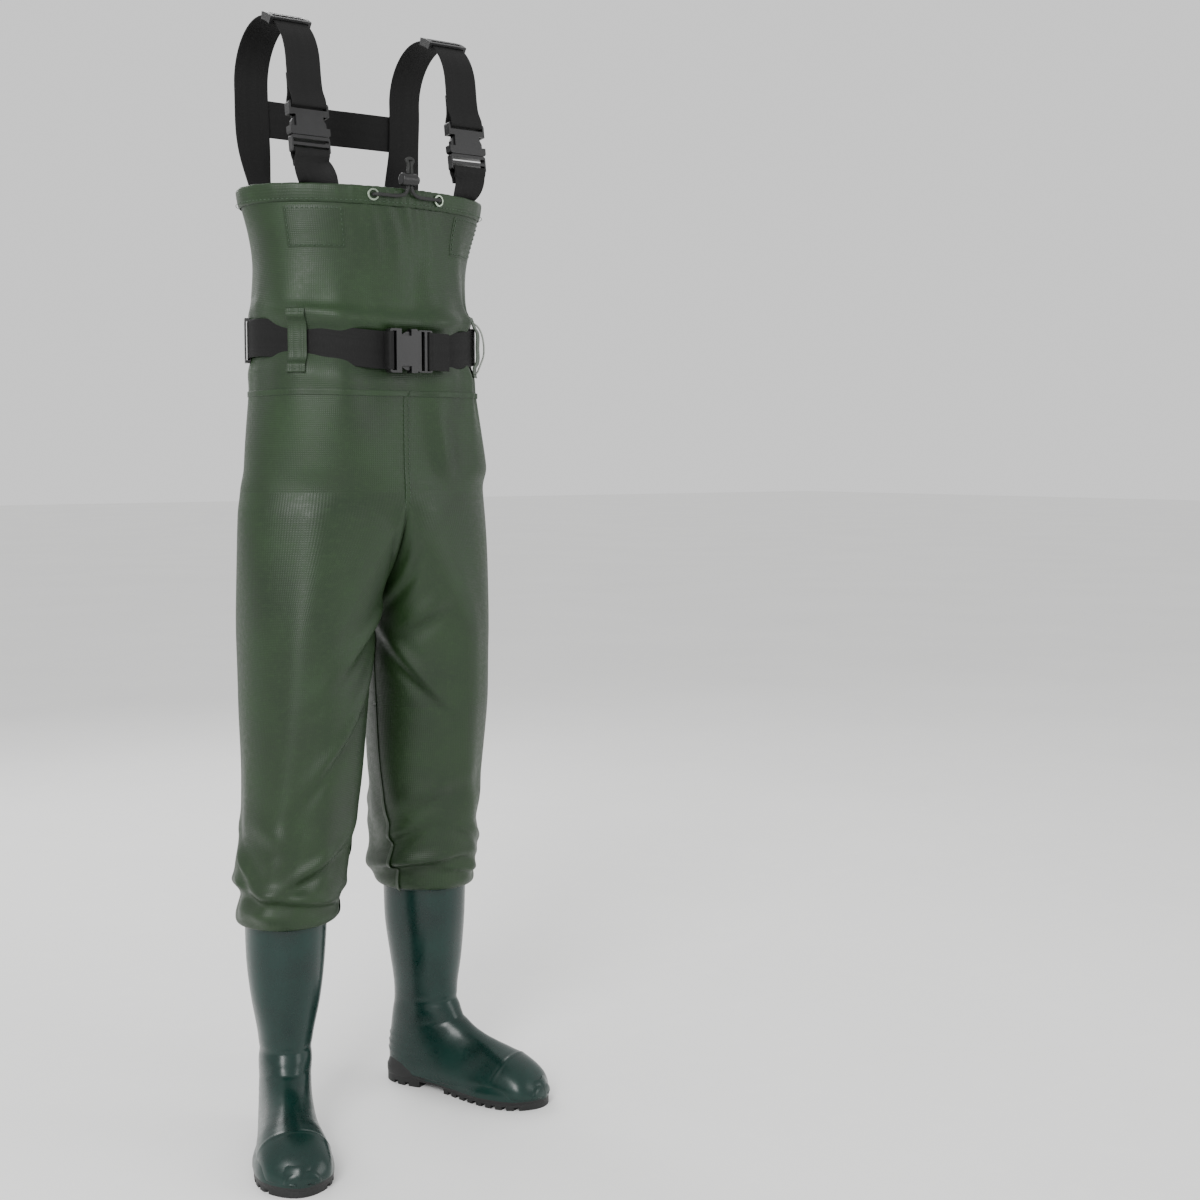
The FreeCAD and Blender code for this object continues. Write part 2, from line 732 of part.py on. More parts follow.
def front_tab(side_name, side):
    """Short tab from inside the hem up to the plug's lower bar."""
    wide = size("webbing_wide")
    thick = size("webbing_thick")
    place, _, normal = buckle_place(side)
    bar = place.multVec(Vector(0, -size("plug_long") + 1.25, 0))
    eye = strap_eye(3.5, size("plug_thick"), wide, thick)
    eye.Placement = Placement(bar, place.Rotation)
    low = place.multVec(Vector(0, -size("plug_long") - 0.5 - 0.35 - thick / 2, 0))
    foot = base_station(side, size("strap_foot"), True)
    rim = base_station(side, size("rim_height") + 2, True)
    tab = band([foot, rim, (low, Vector(1, 0, 0), normal)], wide, thick)
    keep_shape(tab.fuse(eye).removeSplitter(), f"front_tab_{side_name}")


def cross_strap():
    body = new_body("cross_strap")
    sketch = new_sketch(body, "XZ_Plane", "outline")
    add_rectangle(sketch, "strap", "-sizes.cross_half_long", "-sizes.webbing_wide / 2",
                  "2 * sizes.cross_half_long", "sizes.webbing_wide")
    add_pad(body, sketch, "sizes.webbing_thick")
    end, _, _ = arch_station(1, BACK_END)
    body.Placement = Placement(Vector(0, end.y + size("webbing_thick") + 0.1, size("cross_height")), Rotation())


def shoulder_slider(side_name, side):
    """Tri-glide that rides on the arch: a turned frame with two webbing slots."""
    body = new_body(f"shoulder_slider_{side_name}")
    frame = new_sketch(body, "XZ_Plane", "frame")
    radius = size("arch_radius")
    gap = size("slider_gap")
    wall = size("slider_wall")
    low = radius - size("webbing_thick") / 2 - gap - wall
    add_rectangle(frame, "outer", "-sizes.slider_wide / 2", str(low), "sizes.slider_wide",
                  str(size("webbing_thick") + 2 * gap + 2 * wall))
    add_rectangle(frame, "inner", "-sizes.webbing_wide / 2 - 1", str(low + wall), "sizes.webbing_wide + 2",
                  str(size("webbing_thick") + 2 * gap))
    turned = body.newObject("PartDesign::Revolution", f"{body.Name}_turned")
    turned.Profile = frame
    turned.ReferenceAxis = (next(item for item in body.Origin.OriginFeatures if item.Role == "X_Axis"), [""])
    turned.setExpression("Angle", "sizes.slider_angle")
    turned.Midplane = True
    doc.recompute()
    window = new_sketch(body, "XY_Plane", "window")
    for name, low_y in (("front_slot", "-9"), ("rear_slot", "2.5")):
        add_rectangle(window, name, "-sizes.webbing_wide / 2 + 1", low_y, "sizes.webbing_wide - 2", "6.5")
    add_pad(body, window, "2 * sizes.arch_radius + 60", cut=True)
    centre = Vector(side * size("shoulder_x"), size("arch_centre_y"), size("arch_centre_height"))
    body.Placement = Placement(centre, Rotation(Vector(1, 0, 0), 24))


# ---------------------------------------------------------------- belt
BUCKLE_SHIFT = 6
TAIL_LONG = 34


def belt_ring(inset, grow):
    wide = size("belt_half_width") + grow
    deep = size("belt_half_depth") + grow
    return tube([ellipse_wire(wide + inset, deep + inset, 900), ellipse_wire(wide + inset, deep + inset, 1250)],
                [ellipse_wire(wide, deep, 900), ellipse_wire(wide, deep, 1250)])


def belt_height(x):
    """Middle of the belt's width: it sags at the front and back and rises at the sides."""
    return size("belt_centre") + size("belt_sag") * (x / size("belt_half_width")) ** 2


def sagging_slab(half_tall):
    """Everything between two curves that follow the belt's sag, extruded along Y."""
    reach = 200
    edges = []
    for offset in (-half_tall, half_tall):
        points = [Vector(x, -reach, belt_height(x) + offset) for x in (-reach, 0, reach)]
        curve = Part.BSplineCurve()
        curve.interpolate(points)
        edges.append(curve.toShape())
    lower, upper = edges
    sides = [Part.makeLine(lower.valueAt(lower.LastParameter), upper.valueAt(upper.LastParameter)),
             Part.makeLine(upper.valueAt(upper.FirstParameter), lower.valueAt(lower.FirstParameter))]
    face = Part.Face(Part.Wire(Part.__sortEdges__(edges + sides)))
    return face.extrude(Vector(0, 2 * reach, 0))


def belt_buckle_place():
    """Own y runs towards the wearer's right, where the socket's bar holds the belt's fixed end."""
    ahead = size("belt_half_depth") + size("belt_gap") + size("webbing_thick") + size("socket_thick") / 2 + 1
    turn = Rotation(Vector(0, 0, 1), Vector(-1, 0, 0), Vector(0, -1, 0), "ZXY")
    return Placement(Vector(BUCKLE_SHIFT, -ahead, size("belt_centre")), turn)


def belt_parts():
    thick = size("webbing_thick")
    wide = size("webbing_wide")
    ring = belt_ring(thick, size("belt_gap")).common(sagging_slab(wide / 2))
    opening = Part.makeBox(54, 200, 300, Vector(BUCKLE_SHIFT - 34, -200, 950))
    keep_shape(ring.cut(opening), "belt_webbing")
    place = belt_buckle_place()
    eye = strap_eye(4, size("socket_thick"), wide, thick)
    eye.Placement = Placement(place.multVec(Vector(0, size("socket_long") - 2, 0)), place.Rotation)
    keep_shape(eye, "belt_fixed_end")
    tail_eye = strap_eye(3.5, size("plug_thick"), wide, thick)
    tail_eye.Placement = Placement(place.multVec(Vector(0, -size("plug_long") + 1.25, 0)), place.Rotation)
    back = -size("plug_thick") / 2 - 0.35 - thick
    low = -size("plug_long") - 0.35 - thick
    tail = Part.makeBox(wide, TAIL_LONG, thick, Vector(-wide / 2, low - TAIL_LONG + 3, -back - thick))
    tail.Placement = place
    keep_shape(tail_eye.fuse(tail).removeSplitter(), "belt_loose_end")


def belt_slider():
    """Keeper frame round the belt at the wearer's right side."""
    body = new_body("belt_slider")
    outline = new_sketch(body, "XY_Plane", "outline")
    add_rectangle(outline, "outer", "-11", "-sizes.webbing_wide / 2 - 5", "22", "sizes.webbing_wide + 10")
    block = add_pad(body, outline, "7")
    round_edges(body, block, 3, upright)
    throat = new_sketch(body, "YZ_Plane", "throat")
    add_rectangle(throat, "webbing", "-sizes.webbing_wide / 2 - 1.5", "-2.8", "sizes.webbing_wide + 3", "4.6")
    add_pad(body, throat, "40", cut=True)
    slots = new_sketch(body, "XY_Plane", "slots")
    add_rectangle(slots, "front_slot", "-8", "-sizes.webbing_wide / 2", "6.5", "sizes.webbing_wide")
    add_rectangle(slots, "rear_slot", "1.5", "-sizes.webbing_wide / 2", "6.5", "sizes.webbing_wide")
    add_pad(body, slots, "20", symmetric=False, cut=True, reverse=True)
    spot, normal = belt_spot(162)
    turn = Rotation(Vector(0, 0, 1).cross(normal), Vector(0, 0, 1), normal, "ZXY")
    body.Placement = Placement(spot + normal * 0.8, turn)


def belt_spot(angle):
    """Middle of the webbing at an angle round the waist from +X, and the outward normal there."""
    turn = math.radians(angle)
    grow = size("belt_gap") + size("webbing_thick") / 2
    wide = size("belt_half_width") + grow
    deep = size("belt_half_depth") + grow
    x = wide * math.cos(turn)
    y = deep * math.sin(turn)
    normal = Vector(x / wide ** 2, y / deep ** 2, 0).normalize()
    return Vector(x, y, belt_height(x)), normal


def belt_loops():
    """Four fabric carriers sewn above and below the belt, which passes behind them."""
    wide = size("loop_wide")
    tall = size("loop_tall")
    rise = size("loop_rise")
    thick = 1.6
    outer = Part.makeBox(wide, tall, rise + thick, Vector(-wide / 2, -tall / 2, 0))
    ridge = [edge for edge in outer.Edges if abs(edge.CenterOfMass.z - rise - thick) < 0.01
             and abs(edge.tangentAt(0).x) > 0.9]
    outer = outer.makeFillet(5, ridge)
    hollow = Part.makeBox(wide, tall - 2 * thick, rise, Vector(-wide / 2, -tall / 2 + thick, 0))
    edges = [edge for edge in hollow.Edges if abs(edge.CenterOfMass.z - rise) < 0.01
             and abs(edge.tangentAt(0).x) > 0.9]
    loop = outer.cut(hollow.makeFillet(4, edges))
    loops = []
    for angle in (-34, -146, 57, 123):
        spot, normal = belt_spot(angle)
        copy = loop.copy()
        turn = Rotation(Vector(0, 0, 1).cross(normal), Vector(0, 0, 1), normal, "ZXY")
        copy.Placement = Placement(spot - normal * 2.4, turn)
        loops.append(copy)
    keep_shape(Part.makeCompound(loops), "belt_loops")


def side_cord_loop():
    """Thin pale cord loop at the wearer's left, from above the belt to below it."""
    spot, normal = belt_spot(-20)
    bulge = 19
    heights = ((34, -1.5), (31, 8), (18, bulge * 0.85), (-2, bulge), (-22, bulge * 0.8), (-36, 9), (-41, -1))
    points = [spot + Vector(0, 0, rise) + normal * out for rise, out in heights]
    keep_shape(rod(rounded_path(points), size("side_loop_thick")), "side_cord_loop")


# ---------------------------------------------------------------- cord lock
def cord_lock():
    """Barrel with a sprung plunger across it; both drawcord runs pass up through the hole."""
    top = cord_route()[-1]
    centre = Vector(0, top.y, size("lock_height"))
    radius = size("lock_thick") / 2
    long = size("lock_long")
    cords = size("cord_thick")
    hole_wide = 2 * cords + 1.6
    hole_deep = cords + 0.8
    bore = radius - 3
    left = -long / 2 - 2
    barrel = Part.makeCylinder(radius, long, Vector(left, 0, 0), Vector(1, 0, 0))
    rims = [edge for edge in barrel.Edges if edge.Curve.TypeId == "Part::GeomCircle"]
    barrel = barrel.makeFillet(2, rims)
    barrel = barrel.cut(Part.makeCylinder(bore, long, Vector(left + 2, 0, 0), Vector(1, 0, 0)))
    through = Part.makeBox(hole_wide, hole_deep, 40, Vector(-hole_wide / 2, -hole_deep / 2, -20))
    keep_shape(barrel.cut(through), "cord_lock_barrel", Placement(centre, Rotation()))
    travel = 3.5
    stem_left = left + 5.3
    stem_long = long - 1.8
    stem = Part.makeCylinder(bore - 0.25, stem_long, Vector(stem_left, 0, 0), Vector(1, 0, 0))
    slot = Part.makeBox(hole_wide + travel, hole_deep, 40, Vector(-hole_wide / 2 + 0.2, -hole_deep / 2, -20))
    ends = [edge for edge in stem.Edges if abs(edge.CenterOfMass.x - stem_left - stem_long) < 0.1]
    keep_shape(stem.makeFillet(1.2, ends).cut(slot), "cord_lock_plunger", Placement(centre, Rotation()))
    coil_radius = bore - 2
    wire_half = 0.35
    helix = Part.makeHelix(1.1, 2.2, coil_radius)
    corners = [Vector(coil_radius + across * wire_half, 0, along * wire_half)
               for across, along in ((-1, -1), (1, -1), (1, 1), (-1, 1))]
    section = Part.makePolygon(corners + corners[:1])
    coil = Part.Wire(helix).makePipeShell([section], True, True)
    spring_place = Placement(centre + Vector(left + 2.5, 0, 0), Rotation(Vector(0, 1, 0), 90))
    keep_shape(coil, "cord_lock_spring", spring_place)


# ---------------------------------------------------------------- soles
def add_footprint(body, side, scale_x=1.0, scale_y=1.0):
    sketch = new_sketch(body, "XY_Plane", "footprint")
    sketch.addGeometry(footprint(side, scale_x, scale_y), False)
    return sketch


def insole(side_name, side):
    """Foam insole lying loose on the boot's floor."""
    body = new_body(f"boot_insole_{side_name}")
    add_pad(body, add_footprint(body, side, 0.82, 0.81), "sizes.insole_thick", symmetric=False)
    place = boot_placement(side)
    place.Base.z = size("sole_thick") + size("boot_wall") + 0.2
    body.Placement = place


def sole(side_name, side):
    """Black outsole: padded footprint, an arch recess before the heel and cross-cut cleats."""
    body = new_body(f"boot_sole_{side_name}")
    add_pad(body, add_footprint(body, side), "sizes.sole_thick", symmetric=False)
    arch = new_sketch(body, "YZ_Plane", "arch")
    add_rectangle(arch, "recess", "-52", "-1", "46", "sizes.arch_deep + 1")
    add_pad(body, arch, "300", cut=True)
    tread = new_sketch(body, "YZ_Plane", "tread")
    for step in range(8):
        add_rectangle(tread, f"groove_{step}", f"-{68 + step * size('tread_pitch')}", "-1",
                      "sizes.tread_wide", "sizes.tread_deep + 1")
    for step in range(2):
        add_rectangle(tread, f"heel_groove_{step}", f"{12 + step * 20}", "-1",
                      "sizes.tread_wide", "sizes.tread_deep + 1")
    add_pad(body, tread, "300", cut=True)
    body.Placement = boot_placement(side)


# ---------------------------------------------------------------- the whole object
def build():
    bib_panels()
    hem_and_drawcord()
    eyelets()
    strap_patches()
    seat_halves()
    seam_tapes()
    belt_parts()
    belt_slider()
    belt_loops()
    side_cord_loop()
    buckle("belt", belt_buckle_place())
    cord_lock()
    cross_strap()
    for name, side in SIDES.items():
        back_strap(name, side)
        front_strap(name, side)
        front_tab(name, side)
        shoulder_slider(name, side)
        buckle(f"strap_{name}", buckle_place(side)[0])
        leg_fabric(name, side)
        boot_shells(name, side)
        sole(name, side)
        insole(name, side)


def check_and_write():
    """Stops on any failed object or bad shape, then writes one STEP file for each sub-part.

    Everything moves back by the same shift, so that the origin lies under the middle of the stance.
    """
    doc.recompute()
    for item in doc.Objects:
        if "Invalid" in item.State or "Error" in item.State:
            raise RuntimeError(f"{item.Label} failed: {item.State}")
    os.makedirs("parts", exist_ok=True)
    shift = Placement(Vector(0, size("stance_shift"), 0), Rotation())
    for piece in nodes:
        piece.Placement = shift.multiply(piece.Placement)
        if piece.Shape.isNull() or not piece.Shape.isValid() or not piece.Shape.Solids:
            raise RuntimeError(f"{piece.Label} has no valid solid")
        piece.Shape.exportStep(f"parts/{piece.Label}.step")
    print(len(nodes), "nodes written")


build()
check_and_write()
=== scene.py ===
import math
import time
import bpy
import numpy as np
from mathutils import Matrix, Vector


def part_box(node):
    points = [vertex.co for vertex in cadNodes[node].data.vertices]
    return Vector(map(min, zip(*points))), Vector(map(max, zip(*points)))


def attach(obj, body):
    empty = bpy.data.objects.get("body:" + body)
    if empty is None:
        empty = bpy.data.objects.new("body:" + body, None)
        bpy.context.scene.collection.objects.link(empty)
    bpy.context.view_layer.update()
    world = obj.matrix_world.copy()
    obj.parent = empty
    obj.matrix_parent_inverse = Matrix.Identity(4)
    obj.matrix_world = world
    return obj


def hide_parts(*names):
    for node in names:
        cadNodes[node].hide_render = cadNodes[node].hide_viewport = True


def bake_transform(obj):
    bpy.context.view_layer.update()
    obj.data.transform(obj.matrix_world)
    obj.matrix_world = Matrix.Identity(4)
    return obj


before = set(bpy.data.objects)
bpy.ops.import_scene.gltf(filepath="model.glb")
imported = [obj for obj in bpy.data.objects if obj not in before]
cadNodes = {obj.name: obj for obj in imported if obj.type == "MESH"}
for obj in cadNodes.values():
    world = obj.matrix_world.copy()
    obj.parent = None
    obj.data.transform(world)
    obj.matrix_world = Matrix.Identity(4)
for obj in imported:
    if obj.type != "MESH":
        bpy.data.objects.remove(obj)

started = time.time()
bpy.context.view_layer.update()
hemLow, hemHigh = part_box("top_hem")
midY = (hemLow.y + hemHigh.y) / 2  # the body's own middle, front to back
sides = {"left": 1, "right": -1}


def report(stage):
    print(f"{time.time() - started:6.1f} s  {stage}")


def linearColour(hexText):
    # sRGB hex to the linear colour that shaders take
    parts = np.array([int(hexText[i:i + 2], 16) / 255 for i in (1, 3, 5)])
    return (*np.where(parts <= 0.04045, parts / 12.92, ((parts + 0.055) / 1.055) ** 2.4), 1.0)


def addNode(tree, kind, inputs=None, **settings):
    # one node with its settings, its fixed values and its links
    made = tree.nodes.new(kind)
    for name, value in settings.items():
        setattr(made, name, value)
    for name, value in (inputs or {}).items():
        if isinstance(value, bpy.types.NodeSocket):
            tree.links.new(value, made.inputs[name])
        else:
            made.inputs[name].default_value = value
    return made


def surfaceMaterial(name, look):
    # Three tones broken up by a broad and a fine noise, a pattern worked out in millimetres whose grooves are
    # darkened as painted shade, roughness that follows the same noises, and one bump from pattern plus grain.
    material = bpy.data.materials.new(name)
    material.use_nodes = True
    tree = material.node_tree
    tree.nodes.clear()
    source = addNode(tree, "ShaderNodeTexCoord").outputs["UV" if look.get("onUv") else "Object"]
    inMm = addNode(tree, "ShaderNodeMapping", {"Vector": source, "Scale": (1000, 1000, 1000)}).outputs[0]
    broad = addNode(tree, "ShaderNodeTexNoise", {"Vector": inMm, "Scale": 1 / look["mottleMm"], "Detail": 3.0,
                                                 "Roughness": 0.55})
    fine = addNode(tree, "ShaderNodeTexNoise", {"Vector": inMm, "Scale": 1 / look["grainMm"], "Detail": 4.0,
                                                "Roughness": 0.6})
    spread = addNode(tree, "ShaderNodeMapRange", {"Value": broad.outputs["Fac"], "From Min": 0.3,
                                                  "From Max": 0.7})
    tone = addNode(tree, "ShaderNodeMix", {"Factor": spread.outputs[0], 6: linearColour(look["dark"]),
                                           7: linearColour(look["mid"])}, data_type="RGBA")
    flecks = addNode(tree, "ShaderNodeMapRange", {"Value": fine.outputs["Fac"], "From Min": 0.52, "From Max": 0.8,
                                                  "To Max": look.get("fleck", 0.35)})
    colour = addNode(tree, "ShaderNodeMix", {"Factor": flecks.outputs[0], 6: tone.outputs[2],
                                             7: linearColour(look["light"])}, data_type="RGBA").outputs[2]
    height = fine.outputs["Fac"]
    if "pattern" in look:
        pitch = look["pitchMm"]
        waves = []
        for direction, stretch in (("X", look.get("across", 1.0)), ("Y", look.get("along", 1.0))):
            # one band every pitch: a wave texture repeats every 0.314 of its scale
            waves.append(addNode(tree, "ShaderNodeTexWave", {"Vector": inMm, "Scale": 0.31416 / (pitch * stretch),
                                                             "Distortion": look.get("wobble", 0.4), "Detail": 1.0,
                                                             "Detail Scale": 2.0},
                                 wave_type="BANDS", bands_direction=direction).outputs["Fac"])
        kind = {"weave": "MULTIPLY", "ribs": "ADD"}[look["pattern"]]
        pattern = addNode(tree, "ShaderNodeMath", {0: waves[0], 1: waves[1]}, operation=kind).outputs[0]
        height = addNode(tree, "ShaderNodeMath", {0: pattern, 1: look.get("grainShare", 0.3), 2: height},
                         operation="MULTIPLY_ADD").outputs[0]
        # painted shade: the colour is darkened where the pattern is low, in the grooves between threads and ribs
        paintedGrooveShade = addNode(tree, "ShaderNodeMapRange", {"Value": pattern, "From Max": 0.8,
                                                      "To Min": look.get("shade", 0.8),
                                                      "To Max": 1.0}).outputs[0]
        colour = addNode(tree, "ShaderNodeMix", {"Factor": 1.0, 6: colour, 7: paintedGrooveShade}, data_type="RGBA",
                         blend_type="MULTIPLY").outputs[2]
    roughLow, roughHigh = look["rough"]
    mixed = addNode(tree, "ShaderNodeMath", {0: broad.outputs["Fac"], 1: 0.5, 2: fine.outputs["Fac"]},
                    operation="MULTIPLY_ADD").outputs[0]
    rough = addNode(tree, "ShaderNodeMapRange", {"Value": mixed, "From Min": 0.5, "From Max": 1.0,
                                                 "To Min": roughLow,
                                                 "To Max": roughHigh}).outputs[0]
    bump = addNode(tree, "ShaderNodeBump", {"Height": height, "Strength": 1.0, "Distance": look["bumpMm"] / 1000})
    shader = addNode(tree, "ShaderNodeBsdfPrincipled", {"Base Color": colour, "Roughness": rough,
                                                        "Normal": bump.outputs[0],
                                                        "Metallic": look.get("metallic", 0.0)})
    for socket, value in look.get("sockets", {}).items():
        shader.inputs[socket].default_value = value
    addNode(tree, "ShaderNodeOutputMaterial", {"Surface": shader.outputs[0]})
    return material


# PVC-coated woven nylon: close weave under a thin coat, so a soft broad sheen; thread drawn at 2.4 mm to show
coatedNylon = surfaceMaterial("coated nylon", {
    "onUv": True, "dark": "#12250E", "mid": "#193113", "light": "#2A4720", "mottleMm": 95, "grainMm": 7,
    "fleck": 0.3,
    "pattern": "weave", "pitchMm": 2.4, "shade": 0.9, "wobble": 0.6, "rough": (0.38, 0.56), "bumpMm": 0.16,
    "grainShare": 1.2, "sockets": {"Specular IOR Level": 0.42}})
# welded PVC seam tape: smooth, slightly darker than the cloth
seamTape = surfaceMaterial("heat sealed seam tape", {
    "onUv": True, "dark": "#122112", "mid": "#182B17", "light": "#253C22", "mottleMm": 40, "grainMm": 4,
    "pattern": "weave", "pitchMm": 1.6, "shade": 0.88, "rough": (0.34, 0.5), "bumpMm": 0.12})
# injection moulded PVC boot: deep teal green, glossy with faint flow marks
mouldedPvc = surfaceMaterial("moulded boot PVC", {
    "dark": "#021C18", "mid": "#032822", "light": "#08362E", "mottleMm": 60, "grainMm": 6, "fleck": 0.15,
    "rough": (0.24, 0.36), "bumpMm": 0.03, "sockets": {"Specular IOR Level": 0.36, "Coat Weight": 0.08,
                                                       "Coat Roughness": 0.2}})
# moulded black sole: duller, scuffed along the ground
soleRubber = surfaceMaterial("moulded sole rubber", {
    "dark": "#0A0B0B", "mid": "#121413", "light": "#2B2E2C", "mottleMm": 28, "grainMm": 2.2, "fleck": 0.4,
    "rough": (0.45, 0.7), "bumpMm": 0.25})
# polypropylene webbing: cross ribs every 1.9 mm and lengthwise columns, dull black with grey filaments
ribbedWebbing = surfaceMaterial("woven polypropylene webbing", {
    "onUv": True, "dark": "#090909", "mid": "#121212", "light": "#292929", "mottleMm": 35, "grainMm": 1.6,
    "pattern": "ribs", "pitchMm": 1.9, "across": 1.9, "along": 1.0, "shade": 0.62, "wobble": 0.3,
    "rough": (0.6, 0.85), "bumpMm": 0.25, "sockets": {"Specular IOR Level": 0.25}})
# moulded acetal: fine spark-eroded grain, satin
mouldedAcetal = surfaceMaterial("moulded acetal", {
    "dark": "#0A0A0B", "mid": "#121213", "light": "#262628", "mottleMm": 18, "grainMm": 0.9, "fleck": 0.22,
    "rough": (0.3, 0.46), "bumpMm": 0.07})
# plated brass eyelets: pale greenish metal, rubbed by the cord
platedBrass = surfaceMaterial("plated brass", {
    "dark": "#7F8D7C", "mid": "#A7B4A2", "light": "#D4DCCF", "mottleMm": 5, "grainMm": 0.6, "rough": (0.22, 0.42),
    "bumpMm": 0.04, "metallic": 1.0})
# stainless spring wire: drawn, bright
springWire = surfaceMaterial("drawn spring steel", {
    "dark": "#8B8D8F", "mid": "#B4B6B8", "light": "#E0E1E2", "mottleMm": 2, "grainMm": 0.3, "rough": (0.18, 0.35),
    "bumpMm": 0.02, "metallic": 1.0})
# braided polyester cord: crossing strands every 1.5 mm
braidedCord = surfaceMaterial("braided polyester cord", {
    "onUv": True, "dark": "#121312", "mid": "#1F211F", "light": "#424541", "mottleMm": 14, "grainMm": 0.8,
    "pattern": "weave", "pitchMm": 1.5, "shade": 0.5, "rough": (0.5, 0.75), "bumpMm": 0.35})
# covered elastic: pale grey yarn round a rubber core
paleElastic = surfaceMaterial("covered elastic cord", {
    "onUv": True, "dark": "#8E948C", "mid": "#B4BAB1", "light": "#DDE1DA", "mottleMm": 12, "grainMm": 0.7,
    "pattern": "weave", "pitchMm": 1.1, "shade": 0.72, "rough": (0.55, 0.75), "bumpMm": 0.2})
# bonded polyester sewing thread
sewingThread = surfaceMaterial("sewing thread", {
    "dark": "#26382A", "mid": "#3A4E39", "light": "#6A7F63", "mottleMm": 6, "grainMm": 0.5, "rough": (0.45, 0.65),
    "bumpMm": 0.1})
# closed-cell EVA foam
evaFoam = surfaceMaterial("EVA foam", {
    "dark": "#3A4038", "mid": "#4A5148", "light": "#687064", "mottleMm": 20, "grainMm": 1.2, "rough": (0.75, 0.9),
    "bumpMm": 0.25})
report("materials")


def smoothTable(at, knots, values):
    # cubic Hermite curve through a table; each slope is the mean of the chords on either side
    knots, values = np.asarray(knots, float), np.asarray(values, float)
    if knots[0] > knots[-1]:
        knots, values = knots[::-1], values[::-1]
    at = np.clip(np.asarray(at, float), knots[0], knots[-1])
    gaps = np.diff(knots)
    chords = np.diff(values, axis=0) / gaps[:, None]
    slopes = np.vstack([chords[:1], (chords[:-1] + chords[1:]) / 2, chords[-1:]])
    cell = np.clip(np.searchsorted(knots, at, "right") - 1, 0, len(gaps) - 1)
    gap = gaps[cell][..., None]
    t = (at[..., None] - knots[cell][..., None]) / gap
    return ((2 * t ** 3 - 3 * t ** 2 + 1) * values[cell] + (t ** 3 - 2 * t ** 2 + t) * gap * slopes[cell]
            + (3 * t ** 2 - 2 * t ** 3) * values[cell + 1] + (t ** 3 - t ** 2) * gap * slopes[cell + 1])


def smoothStep(x, low, high):
    t = np.clip((x - low) / (high - low), 0, 1)
    return t * t * (3 - 2 * t)


def bell(x, middle, width):
    return np.exp(-((x - middle) / width) ** 2)


def softNoise(turn, height, seed, waves=7, roundMost=6, perMetre=26):
    # sum of sines that run round the tube a whole number of times and up it at random rates; about -1 to 1
    random = np.random.default_rng(seed)
    total = np.zeros(np.broadcast(turn, height).shape)
    for _ in range(waves):
        total += np.sin(random.integers(-roundMost, roundMost + 1) * turn
                        + random.uniform(-1, 1) * perMetre * height
                        + random.uniform(0, 6.283))
    return total / math.sqrt(waves)


def normalsOf(points, closed=True):
    # outward normals of a grid whose rows run down and whose columns run anticlockwise seen from above
    if closed:
        alongRow = np.roll(points, -1, 1) - np.roll(points, 1, 1)
    else:
        alongRow = np.gradient(points, axis=1)
    down = np.gradient(points, axis=0)
    normal = np.cross(down, alongRow)
    return normal / np.maximum(np.linalg.norm(normal, axis=2, keepdims=True), 1e-12)


def gridFaces(rows, cols, closed):
    i, j = np.meshgrid(np.arange(rows - 1), np.arange(cols if closed else cols - 1), indexing="ij")
    after = (j + 1) % cols
    return np.stack([i * cols + j, (i + 1) * cols + j, (i + 1) * cols + after, i * cols + after],
                    -1).reshape(-1, 4)


def gridPiece(name, points, material, closed=True, uvSize=None, caps=False, subdivide=0, thick=0.0, flip=False):
    # a grid of points as a mesh, its own UV map in metres: u round or across, v along
    rows, cols = points.shape[:2]
    faces = gridFaces(rows, cols, closed)
    columns = cols if closed else cols - 1
    wide, tall = uvSize or (1.0, 1.0)
    i, j = np.divmod(np.arange((rows - 1) * columns), columns)
    corners = np.stack([np.stack([j, i], -1), np.stack([j, i + 1], -1), np.stack([j + 1, i + 1], -1),
                        np.stack([j + 1, i], -1)], 1).astype(float)
    uv = corners * [wide / columns, tall / (rows - 1)]
    if flip:
        faces, uv = faces[:, ::-1], uv[:, ::-1]
    polygons = faces.tolist()
    uv = uv.reshape(-1, 2)
    if caps:
        first, last = list(range(cols)), list(range((rows - 1) * cols, rows * cols))
        polygons += [first[::-1], last] if flip else [first, last[::-1]]
        uv = np.vstack([uv, np.zeros((2 * cols, 2))])
    mesh = bpy.data.meshes.new(name)
    mesh.from_pydata(points.reshape(-1, 3).tolist(), [], polygons)
    layer = mesh.uv_layers.new(name="UVMap")
    layer.data.foreach_set("uv", uv.astype(np.float32).ravel())
    mesh.polygons.foreach_set("use_smooth", np.ones(len(polygons), bool))
    mesh.materials.append(material)
    mesh.update()
    piece = bpy.data.objects.new(name, mesh)
    bpy.context.scene.collection.objects.link(piece)
    if subdivide:
        smooth = piece.modifiers.new("smooth", "SUBSURF")
        smooth.levels = smooth.render_levels = subdivide
    if thick:
        shell = piece.modifiers.new("thickness", "SOLIDIFY")
        shell.thickness, shell.offset, shell.use_rim = thick, -1, False
    return piece


